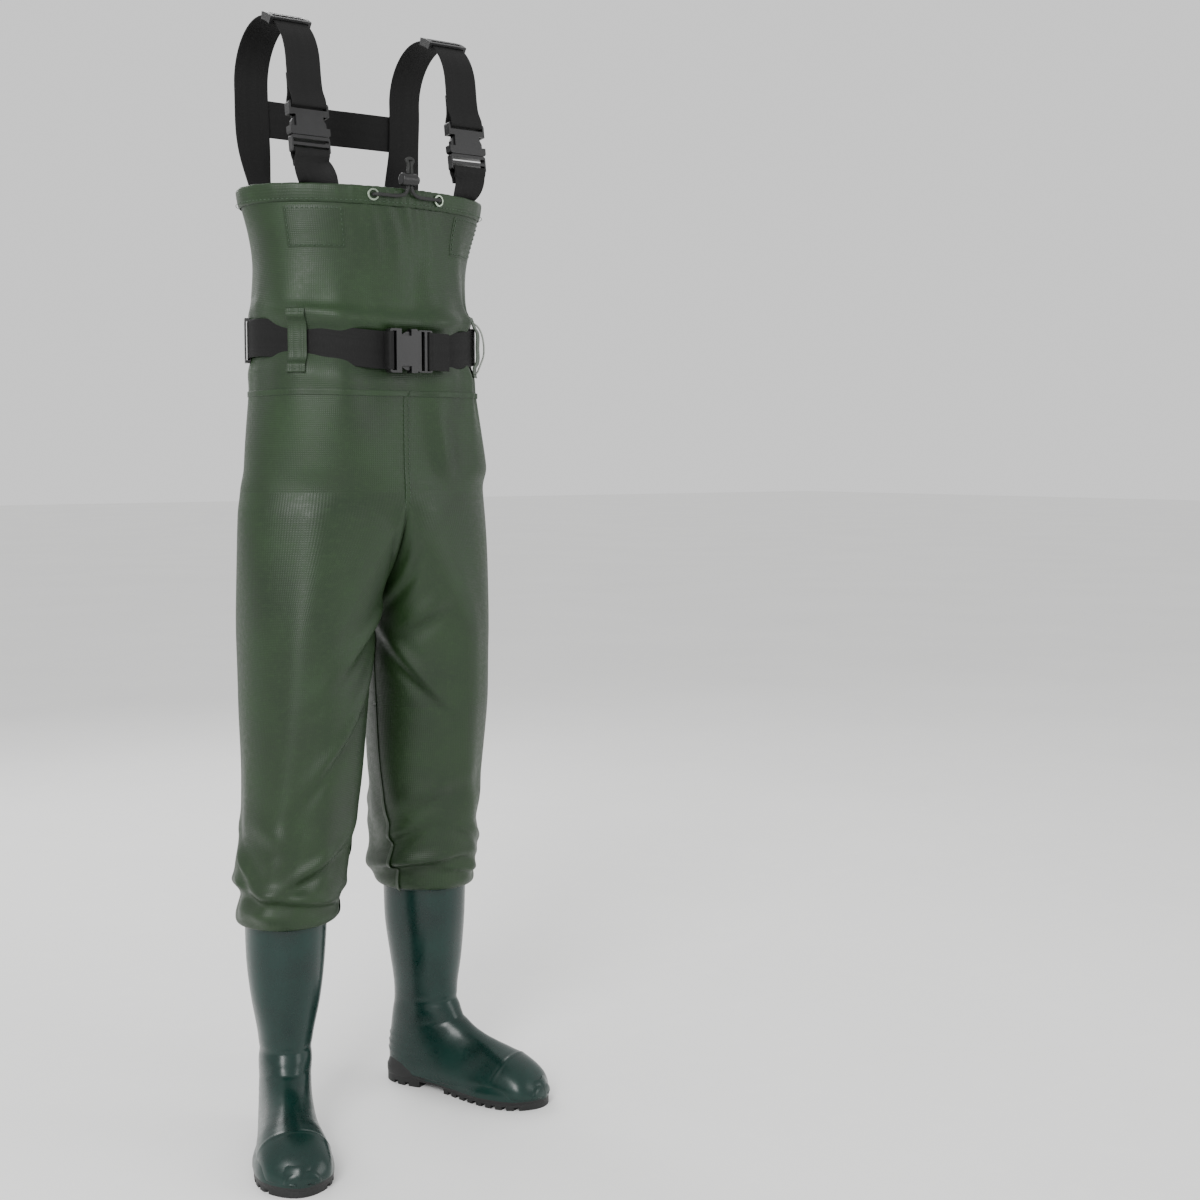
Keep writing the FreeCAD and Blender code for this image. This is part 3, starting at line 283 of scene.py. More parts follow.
# The cloth body: one closed tube from the rim to the rise, and two leg tubes that meet on the rise seam.
torsoShape = {
    "heights": [1.300, 1.276, 1.210, 1.135, 1.095, 1.035, 0.955, 0.885, 0.800],
    "halves": [(0.1790, 0.1190), (0.1740, 0.1170), (0.1600, 0.1120), (0.1620, 0.1170), (0.1605, 0.1165),
               (0.1680, 0.1190), (0.1810, 0.1210), (0.1890, 0.1210), (0.1970, 0.1190)],
    "top": 1.297, "rise": 0.900, "crotch": 0.784, "rows": 58, "columns": 144,
}
legShape = {
    "heights": [0.690, 0.625, 0.565, 0.480, 0.395, 0.350, 0.332, 0.321, 0.313],
    # centre x, centre y, half width, half depth, turn in degrees, step back (left) or forward (right)
    "rings": [(0.106, 0.002, 0.089, 0.109, 0, 0.004), (0.110, 0.006, 0.088, 0.106, 2, 0.009),
              (0.115, 0.010, 0.086, 0.102, 5, 0.015), (0.122, 0.016, 0.0825, 0.095, 12, 0.024),
              (0.1285, 0.023, 0.076, 0.0865, 19, 0.031), (0.132, 0.0305, 0.0715, 0.079, 24, 0.034),
              (0.1335, 0.0325, 0.0665, 0.073, 24, 0.035), (0.1336, 0.033, 0.0605, 0.067, 24, 0.035),
              (0.1336, 0.033, 0.0577, 0.0638, 24, 0.035)],
    "groin": 0.690, "split": 0.600, "cuff": 0.3135, "upperRows": 42, "lowerRows": 52,
}
beltShape = {"centre": 1.085, "sag": 0.017, "halfWidth": 0.161, "halfDepth": 0.117, "gap": 0.0032, "wide": 0.050,
             "thick": 0.0022}


def beltHeight(x):
    return beltShape["centre"] + beltShape["sag"] * (x / beltShape["halfWidth"]) ** 2


def torsoRing(turn, height):
    half = smoothTable(height, torsoShape["heights"], torsoShape["halves"])
    return np.stack([half[..., 0] * np.cos(turn), half[..., 1] * np.sin(turn),
                     np.broadcast_to(height, turn.shape)], -1)


def legRing(turn, height, side):
    level = smoothTable(height, legShape["heights"], legShape["rings"])
    twist = np.radians(level[..., 4])
    across, along = level[..., 2] * np.cos(turn), level[..., 3] * np.sin(turn)
    x = level[..., 0] + across * np.cos(twist) - along * np.sin(twist)
    y = level[..., 1] + side * level[..., 5] + across * np.sin(twist) + along * np.cos(twist)
    return np.stack([side * x, y, np.broadcast_to(height, turn.shape)], -1)


columns = torsoShape["columns"]
roundTurn = -math.pi / 2 + 2 * math.pi * np.arange(columns) / columns


def bodyGrid():
    # rows down from the rim to the rise line, columns anticlockwise from the centre front
    height = np.linspace(torsoShape["top"], torsoShape["rise"], torsoShape["rows"])[:, None]
    turn = np.broadcast_to(roundTurn, (torsoShape["rows"], columns))
    return torsoRing(turn, np.broadcast_to(height, turn.shape)), turn


def legGrid(side):
    # Rows down from the rise line to the boot. The top row is half the body's ring and, inside, the rise seam,
    # half an ellipse in the middle plane; a cubic carries it to the groin ring, and rings go on from there.
    turn = np.broadcast_to(roundTurn, (legShape["upperRows"] + legShape["lowerRows"], columns))
    rise, crotch, groin = torsoShape["rise"], torsoShape["crotch"], legShape["groin"]
    half = smoothTable(np.array(rise), torsoShape["heights"], torsoShape["halves"])
    outer = np.cos(roundTurn) > -1e-9
    top = np.stack([side * np.where(outer, half[0] * np.cos(roundTurn), 0), half[1] * np.sin(roundTurn),
                    np.where(outer, rise, rise + (rise - crotch) * np.cos(roundTurn))], -1)
    ringTop = legRing(roundTurn, np.full(columns, groin), side)
    drop = (top[:, 2] - groin)[:, None]
    slopeDown = (legRing(roundTurn, np.full(columns, groin - 0.01), side) - ringTop) / 0.01
    inner = np.clip(-np.cos(roundTurn), 0, 1)[:, None]
    leave = np.hstack([side * (0.10 * (1 - inner) + 0.22 * inner), np.zeros_like(inner), -np.ones_like(inner)])
    upperCount = 30
    t = np.linspace(0, 1, upperCount)[:, None, None]
    upper = ((2 * t ** 3 - 3 * t ** 2 + 1) * top + (t ** 3 - 2 * t ** 2 + t) * drop * leave
             + (3 * t ** 2 - 2 * t ** 3) * ringTop + (t ** 3 - t ** 2) * drop * slopeDown)
    heights = np.concatenate([np.linspace(groin, legShape["split"], legShape["upperRows"] - upperCount + 1)[1:],
                              np.linspace(legShape["split"], legShape["cuff"], legShape["lowerRows"] + 1)[1:]])
    lower = legRing(turn[upperCount:], np.broadcast_to(heights[:, None], turn[upperCount:].shape), side)
    return np.concatenate([upper, lower]), turn


def fold(turn, height, at, atHeight, slope, reach, width, tall):
    # a slanted crest with a hollow under it: across it a bell, along it a wider bell
    away = (turn - math.radians(at) + math.pi) % (2 * math.pi) - math.pi
    across = height - atHeight - slope * away
    ridge = bell(across, 0, width) - 0.8 * bell(across, -1.6 * width, 0.9 * width)
    return tall * np.exp(-(away / reach) ** 2) * ridge


# place round the tube in degrees (0 outside, -90 front), height, rise per radian, half length in radians,
# half width and depth in metres
legFolds = {
    "left": [(-128, 0.792, 0.075, 0.55, 0.011, 0.0075), (-120, 0.735, 0.045, 0.5, 0.013, 0.006),
             (-140, 0.655, -0.10, 0.5, 0.015, 0.005), (-150, 0.365, 0.010, 1.0, 0.009, 0.0075),
             (-95, 0.345, -0.012, 0.8, 0.008, 0.006),
             (-170, 0.405, 0.040, 0.5, 0.010, 0.006), (-80, 0.400, -0.035, 0.6, 0.011, 0.005),
             (-130, 0.470, 0.030, 0.6, 0.014, 0.004), (165, 0.350, 0.015, 0.8, 0.009, 0.007),
             (60, 0.372, -0.018, 0.9, 0.010, 0.007), (100, 0.430, 0.030, 0.7, 0.014, 0.005),
             (20, 0.410, 0.035, 0.6, 0.012, 0.005), (-30, 0.355, -0.010, 0.7, 0.009, 0.006)],
    "right": [(-135, 0.800, 0.090, 0.60, 0.012, 0.008), (-128, 0.715, -0.085, 0.65, 0.015, 0.0075),
              (-130, 0.640, -0.150, 0.55, 0.016, 0.006), (-100, 0.560, -0.110, 0.45, 0.018, 0.004),
              (-62, 0.362, 0.008, 0.9, 0.009, 0.008), (-15, 0.400, 0.055, 0.55, 0.011, 0.007),
              (-105, 0.402, -0.045, 0.55, 0.011, 0.007), (-60, 0.440, 0.020, 0.5, 0.014, 0.004),
              (-120, 0.350, 0.010, 0.7, 0.008, 0.006), (30, 0.360, -0.012, 0.8, 0.010, 0.007),
              (90, 0.375, 0.020, 0.9, 0.011, 0.007), (140, 0.420, -0.030, 0.7, 0.013, 0.005),
              (75, 0.455, 0.035, 0.6, 0.014, 0.005), (170, 0.355, 0.012, 0.8, 0.009, 0.006)],
}


def bodyFolds(points, turn):
    x, height = points[..., 0], points[..., 2]
    front = smoothStep(-np.sin(turn), 0.1, 0.8)
    aboveBelt = height - beltHeight(x) - 0.025
    push = 0.0105 * bell(aboveBelt, 0.013, 0.012) * (0.40 + 0.60 * front)  # cloth bloused over the belt
    push += 0.0030 * bell(aboveBelt, -0.066, 0.014)
    drift = softNoise(turn, height, 3, roundMost=4, perMetre=6)
    gathers = np.sin(17 * turn + 5 * drift) * (0.5 + 0.5 * softNoise(turn, height, 5, roundMost=5, perMetre=5))
    push += 0.0038 * gathers * (bell(aboveBelt, 0.010, 0.040) + bell(aboveBelt, -0.072, 0.050))
    push += 0.0055 * softNoise(turn, height, 11, roundMost=5, perMetre=16) * smoothStep(height, 1.29, 1.24)
    pleats = np.sin(x / 0.0046 + 2.0 * np.sin(height * 40)) + 0.6 * np.sin(x / 0.0097 + 1.0)
    push += 0.0017 * pleats * bell(x, 0, 0.058) * (points[..., 1] < 0) * smoothStep(height, 1.16, 1.275)
    push += 0.0060 * bell(turn, math.radians(-117), 0.11) * bell(height, 1.20, 0.075)  # long upright fold
    push += 0.0035 * bell(turn, math.radians(-52), 0.12) * bell(height, 1.19, 0.07)
    push -= 0.0040 * bell(turn, math.radians(-84), 0.09) * bell(height, 1.17, 0.09)
    dropLine = turn + math.pi / 2 - 0.28 - (1.02 - height) * 0.9  # a drape that slants from the hip to the crotch
    push += 0.0085 * bell(dropLine, 0, 0.09) * bell(height, 0.955, 0.055)
    push -= 0.0035 * bell(dropLine, 0.2, 0.10) * bell(height, 0.950, 0.055)
    keep = 1 - bell(height - beltHeight(x), 0, 0.020)
    return push * keep * smoothStep(-height, -1.2965, -1.285) * smoothStep(height, torsoShape["rise"], 0.93)


def legPush(points, turn, side, name):
    height = points[..., 2]
    push = 0.0042 * softNoise(turn + height * 1.5 * side, height, 21 + side, roundMost=3, perMetre=16)
    low = smoothStep(-height, -0.50, -0.40)
    push += 0.0035 * softNoise(turn, height, 51 + side, roundMost=3, perMetre=85) * low
    push += 0.0050 * bell((turn + math.pi / 2 + 0.25 * side + (0.6 - height) * 0.3) % (2 * math.pi), 0.35, 0.22)
    for crease in legFolds[name]:
        push += fold(turn, height, *crease)
    seamHold = smoothStep(np.hypot(points[..., 0] * 2.2, np.minimum(height - torsoShape["crotch"], 0) * 1.2),
                          0.0, 0.05)
    topHold = smoothStep(np.abs(points[..., 2] - points[:1, :, 2]), 0.0, 0.03)
    return push * seamHold * topHold * smoothStep(height, legShape["cuff"] + 0.002, legShape["cuff"] + 0.02)


settle = {"frames": 34, "slack": 0.018, "pressure": 3.2, "stiffness": 12.0, "bending": 6.0,
          "mass": 0.25, "cap": 0.020}


def settleCloth(grids):
    # Cloth on the whole suit at once: it is cut a little larger than its form, held at the rim, the belt and the
    # boots, and left to hang; the grids share their seams, so equal corners are merged first.
    every = np.vstack([grid.reshape(-1, 3) for grid in grids])
    _, first, back = np.unique(np.round(every, 5), axis=0, return_index=True, return_inverse=True)
    back = back.ravel()
    merged, faces, start = every[first], [], 0
    for grid, side in zip(grids, (1, 1, -1)):
        faces.append(back[start + gridFaces(grid.shape[0], grid.shape[1], True)][:, ::side])
        start += grid.shape[0] * grid.shape[1]
    mesh = bpy.data.meshes.new("settling")
    mesh.from_pydata(merged.tolist(), [], np.vstack(faces).tolist())
    suit = bpy.data.objects.new("settling", mesh)
    bpy.context.scene.collection.objects.link(suit)
    fromBelt = np.abs(merged[:, 2] - beltHeight(merged[:, 0]))
    hold = np.maximum.reduce([smoothStep(merged[:, 2], 1.272, 1.280), 1 - smoothStep(fromBelt, 0.021, 0.027),
                              1 - smoothStep(merged[:, 2], 0.318, 0.326)])
    group = suit.vertex_groups.new(name="held")
    for step in range(1, 5):  # four strengths are enough for the edge of a held band
        chosen = np.nonzero(np.ceil(hold * 4) == step)[0]
        group.add(chosen.tolist(), step / 4, "REPLACE")
    modifier = suit.modifiers.new("cloth", "CLOTH")
    cloth = modifier.settings
    cloth.quality = 6
    cloth.mass = settle["mass"]
    cloth.tension_stiffness = cloth.compression_stiffness = settle["stiffness"]
    cloth.shear_stiffness = settle["stiffness"] / 2
    cloth.bending_stiffness = settle["bending"]
    cloth.air_damping = 4.0
    cloth.shrink_min = -settle["slack"]
    cloth.vertex_group_mass = "held"
    cloth.use_pressure = True
    cloth.uniform_pressure_force = settle["pressure"]
    modifier.collision_settings.use_collision = False
    scene = bpy.context.scene
    modifier.point_cache.frame_end = settle["frames"]
    for number in range(1, settle["frames"] + 1):
        scene.frame_set(number)
    shape = suit.evaluated_get(bpy.context.evaluated_depsgraph_get())
    moved = np.empty(len(merged) * 3, np.float32)
    shape.data.vertices.foreach_get("co", moved)
    scene.frame_set(1)
    bpy.data.objects.remove(suit)
    shift = moved.reshape(-1, 3) - merged
    far = np.linalg.norm(shift, axis=1, keepdims=True)
    shift *= np.minimum(1, settle["cap"] / np.maximum(far, 1e-9))
    # only the broad drape is kept: waves finer than nine to the round are damped, and the hips stay full
    keep = (0.35 + 0.65 * smoothStep(-merged[:, 2], -0.62, -0.46))[:, None]
    moves = np.split((shift * keep)[back], np.cumsum([grid.shape[0] * grid.shape[1] for grid in grids])[:-1])
    settled = []
    for grid, move in zip(grids, moves):
        waves = np.fft.rfft(move.reshape(grid.shape), axis=1)
        waves *= np.exp(-(np.arange(waves.shape[1]) / 9) ** 4)[None, :, None]
        settled.append(grid + np.fft.irfft(waves, grid.shape[1], axis=1))
    # the filter is not the same on each grid, so the legs' top rows are eased back
    # on to the body and the middle plane
    outer = np.cos(roundTurn) > -1e-9
    for leg, sign in ((1, 1), (2, -1)):
        top = settled[leg][0]
        middle = (settled[1][0] + settled[2][0]) / 2 * [0, 1, 1]
        ring = settled[0][-1] if sign > 0 else settled[0][-1][(-np.arange(columns)) % columns]
        aim = np.where(outer[:, None], ring, middle)
        ease = smoothStep(-np.arange(len(settled[leg])), -9, 0)[:, None, None]
        settled[leg] = settled[leg] + (aim - top) * ease
    return settled


bodyPoints, bodyTurn = bodyGrid()
grids = [bodyPoints, legGrid(1)[0], legGrid(-1)[0]]
grids = settleCloth(grids)
report("cloth settled")
lift = np.array([0, midY, 0])
bodyPoints = grids[0] + normalsOf(grids[0]) * bodyFolds(grids[0], bodyTurn)[..., None] + lift
legPoints = {}
for (name, side), points in zip(sides.items(), grids[1:]):
    facing = normalsOf(points) * side
    legPoints[name] = points + facing * legPush(points, legGrid(side)[1], side, name)[..., None] + lift

# bend lines for the hips, slanted from the crotch, and for the knees, level; nothing here turns the cloth about
# them
hipBend = {side: ((0, midY, torsoShape["crotch"] - 0.002),
                  (0.17 * 0.385 * side, midY, torsoShape["crotch"] - 0.002 - 0.17 * 0.923)) for side in (1, -1)}
kneeBend = {side: ((0.128 * side, midY, 0.56), (0.128 * side, midY, 0.40)) for side in (1, -1)}

clothThick = 0.0013
bodyCloth = gridPiece("bibAndSeatCloth", bodyPoints, coatedNylon, uvSize=(0.95, 0.40), subdivide=1,
                      thick=clothThick)
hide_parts("bib_front_panel", "bib_back_panel_left", "bib_back_panel_right", "seat_panel_left",
            "seat_panel_right")
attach(bodyCloth, "torso")
upperRows = legShape["upperRows"]
for name, side in sides.items():
    grid = legPoints[name]
    upper = gridPiece(f"upperLegCloth_{name}", grid[:upperRows], coatedNylon, uvSize=(0.58, 0.32), subdivide=1,
                      thick=clothThick, flip=side < 0)
    lower = gridPiece(f"lowerLegCloth_{name}", grid[upperRows - 1:], coatedNylon, uvSize=(0.48, 0.30),
                      subdivide=1,
                      thick=clothThick, flip=side < 0)
    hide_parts(f"hip_fabric_{name}", f"thigh_fabric_{name}")
    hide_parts(f"knee_fabric_{name}", f"shin_fabric_{name}")
    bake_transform(upper)
    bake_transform(lower)
# flat sizes: girth by length of the tubes that were sewn, in metres
report("cloth pieces")


def onGrid(grid, row, col):
    # point and outward normal of a closed grid at fractional rows and columns
    rows, cols = grid.shape[:2]
    normal = normalsOf(grid)
    row = np.clip(row, 0, rows - 1.001)
    i, j = np.floor(row).astype(int), np.floor(col).astype(int)
    a, b = (row - i)[..., None], (col - j)[..., None]
    j, after = j % cols, (j + 1) % cols
    found = []
    for layer in (grid, normal):
        found.append((1 - a) * ((1 - b) * layer[i, j] + b * layer[i, after])
                     + a * ((1 - b) * layer[i + 1, j] + b * layer[i + 1, after]))
    return found[0], found[1] / np.linalg.norm(found[1], axis=-1, keepdims=True)


def bodyRow(height):
    return (torsoShape["top"] - height) / (torsoShape["top"] - torsoShape["rise"]) * (torsoShape["rows"] - 1)


def bodyCol(degrees):
    return (np.radians(degrees) + math.pi / 2) / (2 * math.pi) * columns % columns


def stitchRow(name, points, normals, material, long=0.0036, gap=0.0028, radius=0.00045, lift=0.0004):
    # thread dashes along a line: each is a six-sided spindle, its middle lifted and its ends sunk in the cloth
    steps = np.linalg.norm(np.diff(points, axis=0), axis=1)
    run = np.concatenate([[0], np.cumsum(steps)])
    count = max(2, int(run[-1] / (long + gap)))
    middles = (np.arange(count) + 0.5) * run[-1] / count
    where = np.stack([np.interp(middles, run, points[:, k]) for k in range(3)], -1)
    up = np.stack([np.interp(middles, run, normals[:, k]) for k in range(3)], -1)
    ahead = np.stack([np.interp(middles + 0.0005, run, points[:, k]) for k in range(3)], -1) - \
        np.stack([np.interp(middles - 0.0005, run, points[:, k]) for k in range(3)], -1)
    ahead /= np.maximum(np.linalg.norm(ahead, axis=1, keepdims=True), 1e-9)
    aside = np.cross(ahead, up)
    along = np.array([-0.5, -0.3, 0.3, 0.5]) * long
    width = np.array([0.25, 1.0, 1.0, 0.25]) * radius
    raised = np.array([-0.3, 1.0, 1.0, -0.3]) * lift
    turn = np.arange(6) * math.pi / 3
    ring = (where[:, None, None] + ahead[:, None, None] * along[None, :, None, None]
            + up[:, None, None] * (raised[:, None] + width[:, None] * np.sin(turn))[None, :, :, None]
            + aside[:, None, None] * (width[:, None] * np.cos(turn))[None, :, :, None])
    faces = gridFaces(4, 6, True)
    ends = [[0, 1, 2, 3, 4, 5], [23, 22, 21, 20, 19, 18]]
    polygons = []
    for number in range(count):
        polygons += (faces + 24 * number).tolist() + [[24 * number + k for k in end] for end in ends]
    mesh = bpy.data.meshes.new(name)
    mesh.from_pydata(ring.reshape(-1, 3).tolist(), [], polygons)
    mesh.polygons.foreach_set("use_smooth", np.ones(len(polygons), bool))
    mesh.materials.append(material)
    piece = bpy.data.objects.new(name, mesh)
    bpy.context.scene.collection.objects.link(piece)
    return piece


# folded hem round the rim, with a slight pucker where the drawcord gathers it
hemProfile = np.array([(0.0008, -0.0245), (0.0022, -0.0240), (0.0030, -0.0215), (0.0031, -0.0120),
                       (0.0027, -0.0045),
                       (0.0016, -0.0012), (-0.0010, 0.0002), (-0.0034, -0.0008), (-0.0050, -0.0040),
                       (-0.0054, -0.0120), (-0.0052, -0.0215), (-0.0044, -0.0240), (-0.0030, -0.0245)])
hemTurn = np.linspace(0, 2 * math.pi, 288, endpoint=False)
hemHalf = smoothTable(1.300 + hemProfile[:, 1], torsoShape["heights"], torsoShape["halves"])
hemGather = bell(hemTurn, 1.5 * math.pi, 0.42)
hemRipple = hemGather * np.sin(hemTurn * 96) + 0.25 * np.sin(hemTurn * 31 + 2 * np.sin(hemTurn * 3))
hemOut = hemProfile[:, :1] + 0.0009 * hemRipple[None] * np.where(hemProfile[:, :1] > 0, 1, 0.6)
hemPoints = np.stack([
    (hemHalf[:, :1] + hemOut) * np.cos(hemTurn),
    (hemHalf[:, 1:] + hemOut) * np.sin(hemTurn) + midY,
    1.300 + hemProfile[:, 1:] + 0.0006 * hemRipple[None] + 0.0008 * np.sin(hemTurn * 2 + 1)], -1)
hemPiece = gridPiece("foldedHem", hemPoints[::-1], coatedNylon, uvSize=(0.95, 0.06), subdivide=1)
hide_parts("top_hem")
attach(hemPiece, "torso")
report("hem")


def bandProfile(wide, thick, count=28):
    # closed outline of a flat band: a superellipse, nearly a rectangle, its selvedges a little fuller
    turn = 2 * math.pi * (np.arange(count) + 0.5) / count
    c, s = np.cos(turn), np.sin(turn)
    across = wide / 2 * np.sign(c) * np.abs(c) ** 0.45
    up = thick / 2 * np.sign(s) * np.abs(s) ** 0.22 * (1 + 0.25 * bell(np.abs(across), wide / 2 - 0.002, 0.0015))
    return across, up


def resample(path, extra, spacing):
    # even stations on a smooth curve through the points, with a second row of vectors carried along
    run = np.concatenate([[0], np.cumsum(np.linalg.norm(np.diff(path, axis=0), axis=1))])
    at = np.linspace(0, run[-1], max(4, int(run[-1] / spacing)))
    return smoothTable(at, run, path), smoothTable(at, run, extra), run[-1]


def ribbon(name, path, across, band, material, spacing=0.003):
    # a flat band carried along a path, its width lying along "across"
    centre, side, long = resample(np.asarray(path, float), np.asarray(across, float), spacing)
    ahead = np.gradient(centre, axis=0)
    ahead /= np.linalg.norm(ahead, axis=1, keepdims=True)
    side -= ahead * np.sum(side * ahead, 1, keepdims=True)
    side /= np.linalg.norm(side, axis=1, keepdims=True)
    face = np.cross(side, ahead)
    x, y = bandProfile(*band)
    points = centre[:, None] + side[:, None] * x[None, :, None] + face[:, None] * y[None, :, None]
    return gridPiece(name, points, material, uvSize=(2 * band[0] + 2 * band[1], long), caps=True)


def tube(name, path, radius, material, spacing=0.0025):
    # a round cord carried along a path, turned as little as it can be from ring to ring
    path = np.asarray(path, float)
    centre, _, long = resample(path, path, spacing)
    ahead = np.gradient(centre, axis=0)
    ahead /= np.linalg.norm(ahead, axis=1, keepdims=True)
    side = [np.cross(ahead[0], [0.31, 0.2, 0.93])]
    for direction in ahead[1:]:
        side.append(side[-1] - direction * (side[-1] @ direction))
    side = np.array(side)
    side /= np.linalg.norm(side, axis=1, keepdims=True)
    other = np.cross(side, ahead)
    turn = 2 * math.pi * np.arange(12) / 12
    points = centre[:, None] + radius * (side[:, None] * np.cos(turn)[None, :, None]
                                         + other[:, None] * np.sin(turn)[None, :, None])
    return gridPiece(name, points, material, uvSize=(2 * math.pi * radius, long), caps=True), centre, long


webbing = {"wide": 0.050, "thick": 0.0022}
band = (webbing["wide"], webbing["thick"])
harness = {"archRadius": 0.075, "archY": 0.012, "archHeight": 1.451, "x": 0.122, "backEnd": 84, "frontEnd": -82,
           "split": -10, "foot": 1.258, "cross": 1.410, "buckleFoot": 1.338}


def archPoint(side, degrees, out=0.0):
    turn = np.radians(degrees)
    radius = harness["archRadius"] + out
    return np.stack([np.broadcast_to(side * harness["x"], np.shape(turn)),
                     midY + harness["archY"] + radius * np.sin(turn),
                     harness["archHeight"] + radius * np.cos(turn)], -1)


def strapFoot(side, height, front):
    # where a strap lies inside the hem, and the level direction along the rim there
    x = harness["x"] - 0.006
    half = torsoShape["halves"][0]
    y = half[1] * math.sqrt(1 - (x / half[0]) ** 2)
    normal = np.array([x / half[0] ** 2, y / half[1] ** 2, 0])
    normal /= np.linalg.norm(normal)
    spot = np.array([x, y, height]) - normal * (0.0104 + (1.300 - height) * 0.2)
    along = np.array([normal[1], -normal[0], 0])
    flip = np.array([side, -1 if front else 1, 1])
    return spot * flip + [0, midY, 0], along * flip * (1 if side > 0 else -1)


frontNormal = np.array([0, math.sin(math.radians(harness["frontEnd"])),
                        math.cos(math.radians(harness["frontEnd"]))])
frontUp = np.array([0, frontNormal[2], -frontNormal[1]])


def onBuckle(side, y, z):
    # a point in a strap buckle's own frame: y up the strap, z outwards
    end = archPoint(side, harness["frontEnd"])
    foot = end - frontUp * ((end[2] - harness["buckleFoot"]) / frontUp[2])
    return foot + frontUp * (0.0225 + y) + frontNormal * z


level = np.array([1.0, 0, 0])
for name, side in sides.items():
    backY = archPoint(side, harness["backEnd"])[1]
    low, lowAcross = strapFoot(side, harness["foot"], False)
    rim, rimAcross = strapFoot(side, 1.304, False)
    arch = archPoint(side, np.linspace(harness["backEnd"], harness["split"], 22))
    path = np.vstack([low, rim, [side * 0.120, backY, 1.380], [side * 0.122, backY, 1.438], arch])
    across = np.vstack([lowAcross, rimAcross, np.tile(level, (len(path) - 2, 1))])
    backStrap = ribbon(f"backStrap_{name}", path, across, band, ribbedWebbing)
    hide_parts(f"back_strap_{name}")
    arch = archPoint(side, np.linspace(harness["split"], harness["frontEnd"], 18))
    around = [onBuckle(side, y, z) for y, z in ((0.075, 0.0), (0.062, 0.0015), (0.053, 0.0052), (0.047, 0.0074),
                                             (0.0415, 0.0074), (0.0388, 0.0056), (0.0385, 0), (0.0388, -0.0056),
                                             (0.0415, -0.0074), (0.047, -0.0072), (0.054, -0.0040),
                                             (0.064, -0.0024), (0.082, -0.0024))]
    path = np.vstack([arch, around])
    frontStrap = ribbon(f"frontStrap_{name}", path, np.tile(level, (len(path), 1)), band, ribbedWebbing, 0.0015)
    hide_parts(f"front_strap_{name}")
    low, lowAcross = strapFoot(side, harness["foot"], True)
    rim, rimAcross = strapFoot(side, 1.302, True)
    around = [onBuckle(side, y, z) for y, z in ((-0.036, 0.0010), (-0.030, 0.0035), (-0.0255, 0.0062),
                                                (-0.0210, 0.0066),
                                             (-0.0182, 0.0050), (-0.0176, 0), (-0.0182, -0.0050),
                                             (-0.0210, -0.0066), (-0.0262, -0.0062), (-0.0330, -0.0030),
                                             (-0.0400, -0.0022))]
    path = np.vstack([low, rim, around])
    across = np.vstack([lowAcross, rimAcross, np.tile(level, (len(around), 1))])
    frontTab = ribbon(f"frontTab_{name}", path, across, band, ribbedWebbing, 0.0015)
    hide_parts(f"front_tab_{name}")
    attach(backStrap, "torso")
    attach(frontStrap, "torso")
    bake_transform(frontTab)
crossY = archPoint(1, harness["backEnd"])[1] + webbing["thick"] + 0.0002
crossPath = np.stack([np.linspace(-0.141, 0.141, 12), crossY + 0.0006 * np.cos(np.linspace(-9, 9, 12)),
                      harness["cross"] - 0.0015 * np.cos(np.linspace(-1.57, 1.57, 12))], -1)
crossBand = ribbon("crossStrap", crossPath, np.tile([0, 0, 1.0], (12, 1)), band, ribbedWebbing)
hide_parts("cross_strap")
beltTurn = np.radians(np.linspace(-80.9, 260.2, 120))
beltOut = beltShape["gap"] + beltShape["thick"] / 2
beltX = (beltShape["halfWidth"] + beltOut) * np.cos(beltTurn)
beltPath = np.stack([beltX, midY + (beltShape["halfDepth"] + beltOut) * np.sin(beltTurn), beltHeight(beltX)], -1)
beltBand = ribbon("beltWebbing", beltPath, np.tile([0, 0, 1.0], (120, 1)), band, ribbedWebbing)
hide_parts("belt_webbing")
# the belt's two ends: an eye round the socket's bar, and one round the plug's bar that runs on as a tail
eyeTurn = np.linspace(0, 2 * math.pi, 29)
endBands = {}
for name, node, halfX, halfY in (("beltFixedEnd", "belt_fixed_end", 0.00345, 0.00745),
                                ("beltLooseEnd", "belt_loose_end", 0.0031, 0.0064)):
    lowEnd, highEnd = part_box(node)
    middleX = (lowEnd.x + 0.0011 + halfX) if name == "beltLooseEnd" else (lowEnd.x + highEnd.x) / 2
    middleY = (lowEnd.y + highEnd.y) / 2
    eye = np.stack([middleX + halfX * np.sign(np.cos(eyeTurn)) * np.abs(np.cos(eyeTurn)) ** 0.7,
                    middleY + halfY * np.sign(np.sin(eyeTurn)) * np.abs(np.sin(eyeTurn)) ** 0.7,
                    np.full(29, (lowEnd.z + highEnd.z) / 2)], -1)
    if name == "beltLooseEnd":
        eye = eye[7:]  # starts in front, passes round the bar and runs back along the belt
        run = np.linspace(0, 1, 9)[1:, None]
        tailEnd = np.array([highEnd.x - 0.0006, highEnd.y - 0.0012, eye[0, 2]])
        back = eye[14]
        eye = np.vstack([eye[:15], back + (tailEnd - back) * run])
    endBands[name] = ribbon(name, eye, np.tile([0, 0, 1.0], (len(eye), 1)), band, ribbedWebbing, 0.001)
    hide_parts(node)
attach(endBands["beltFixedEnd"], "torso")
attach(endBands["beltLooseEnd"], "belt_plug")
for piece in (crossBand, beltBand):
    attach(piece, "torso")
report("harness and belt")

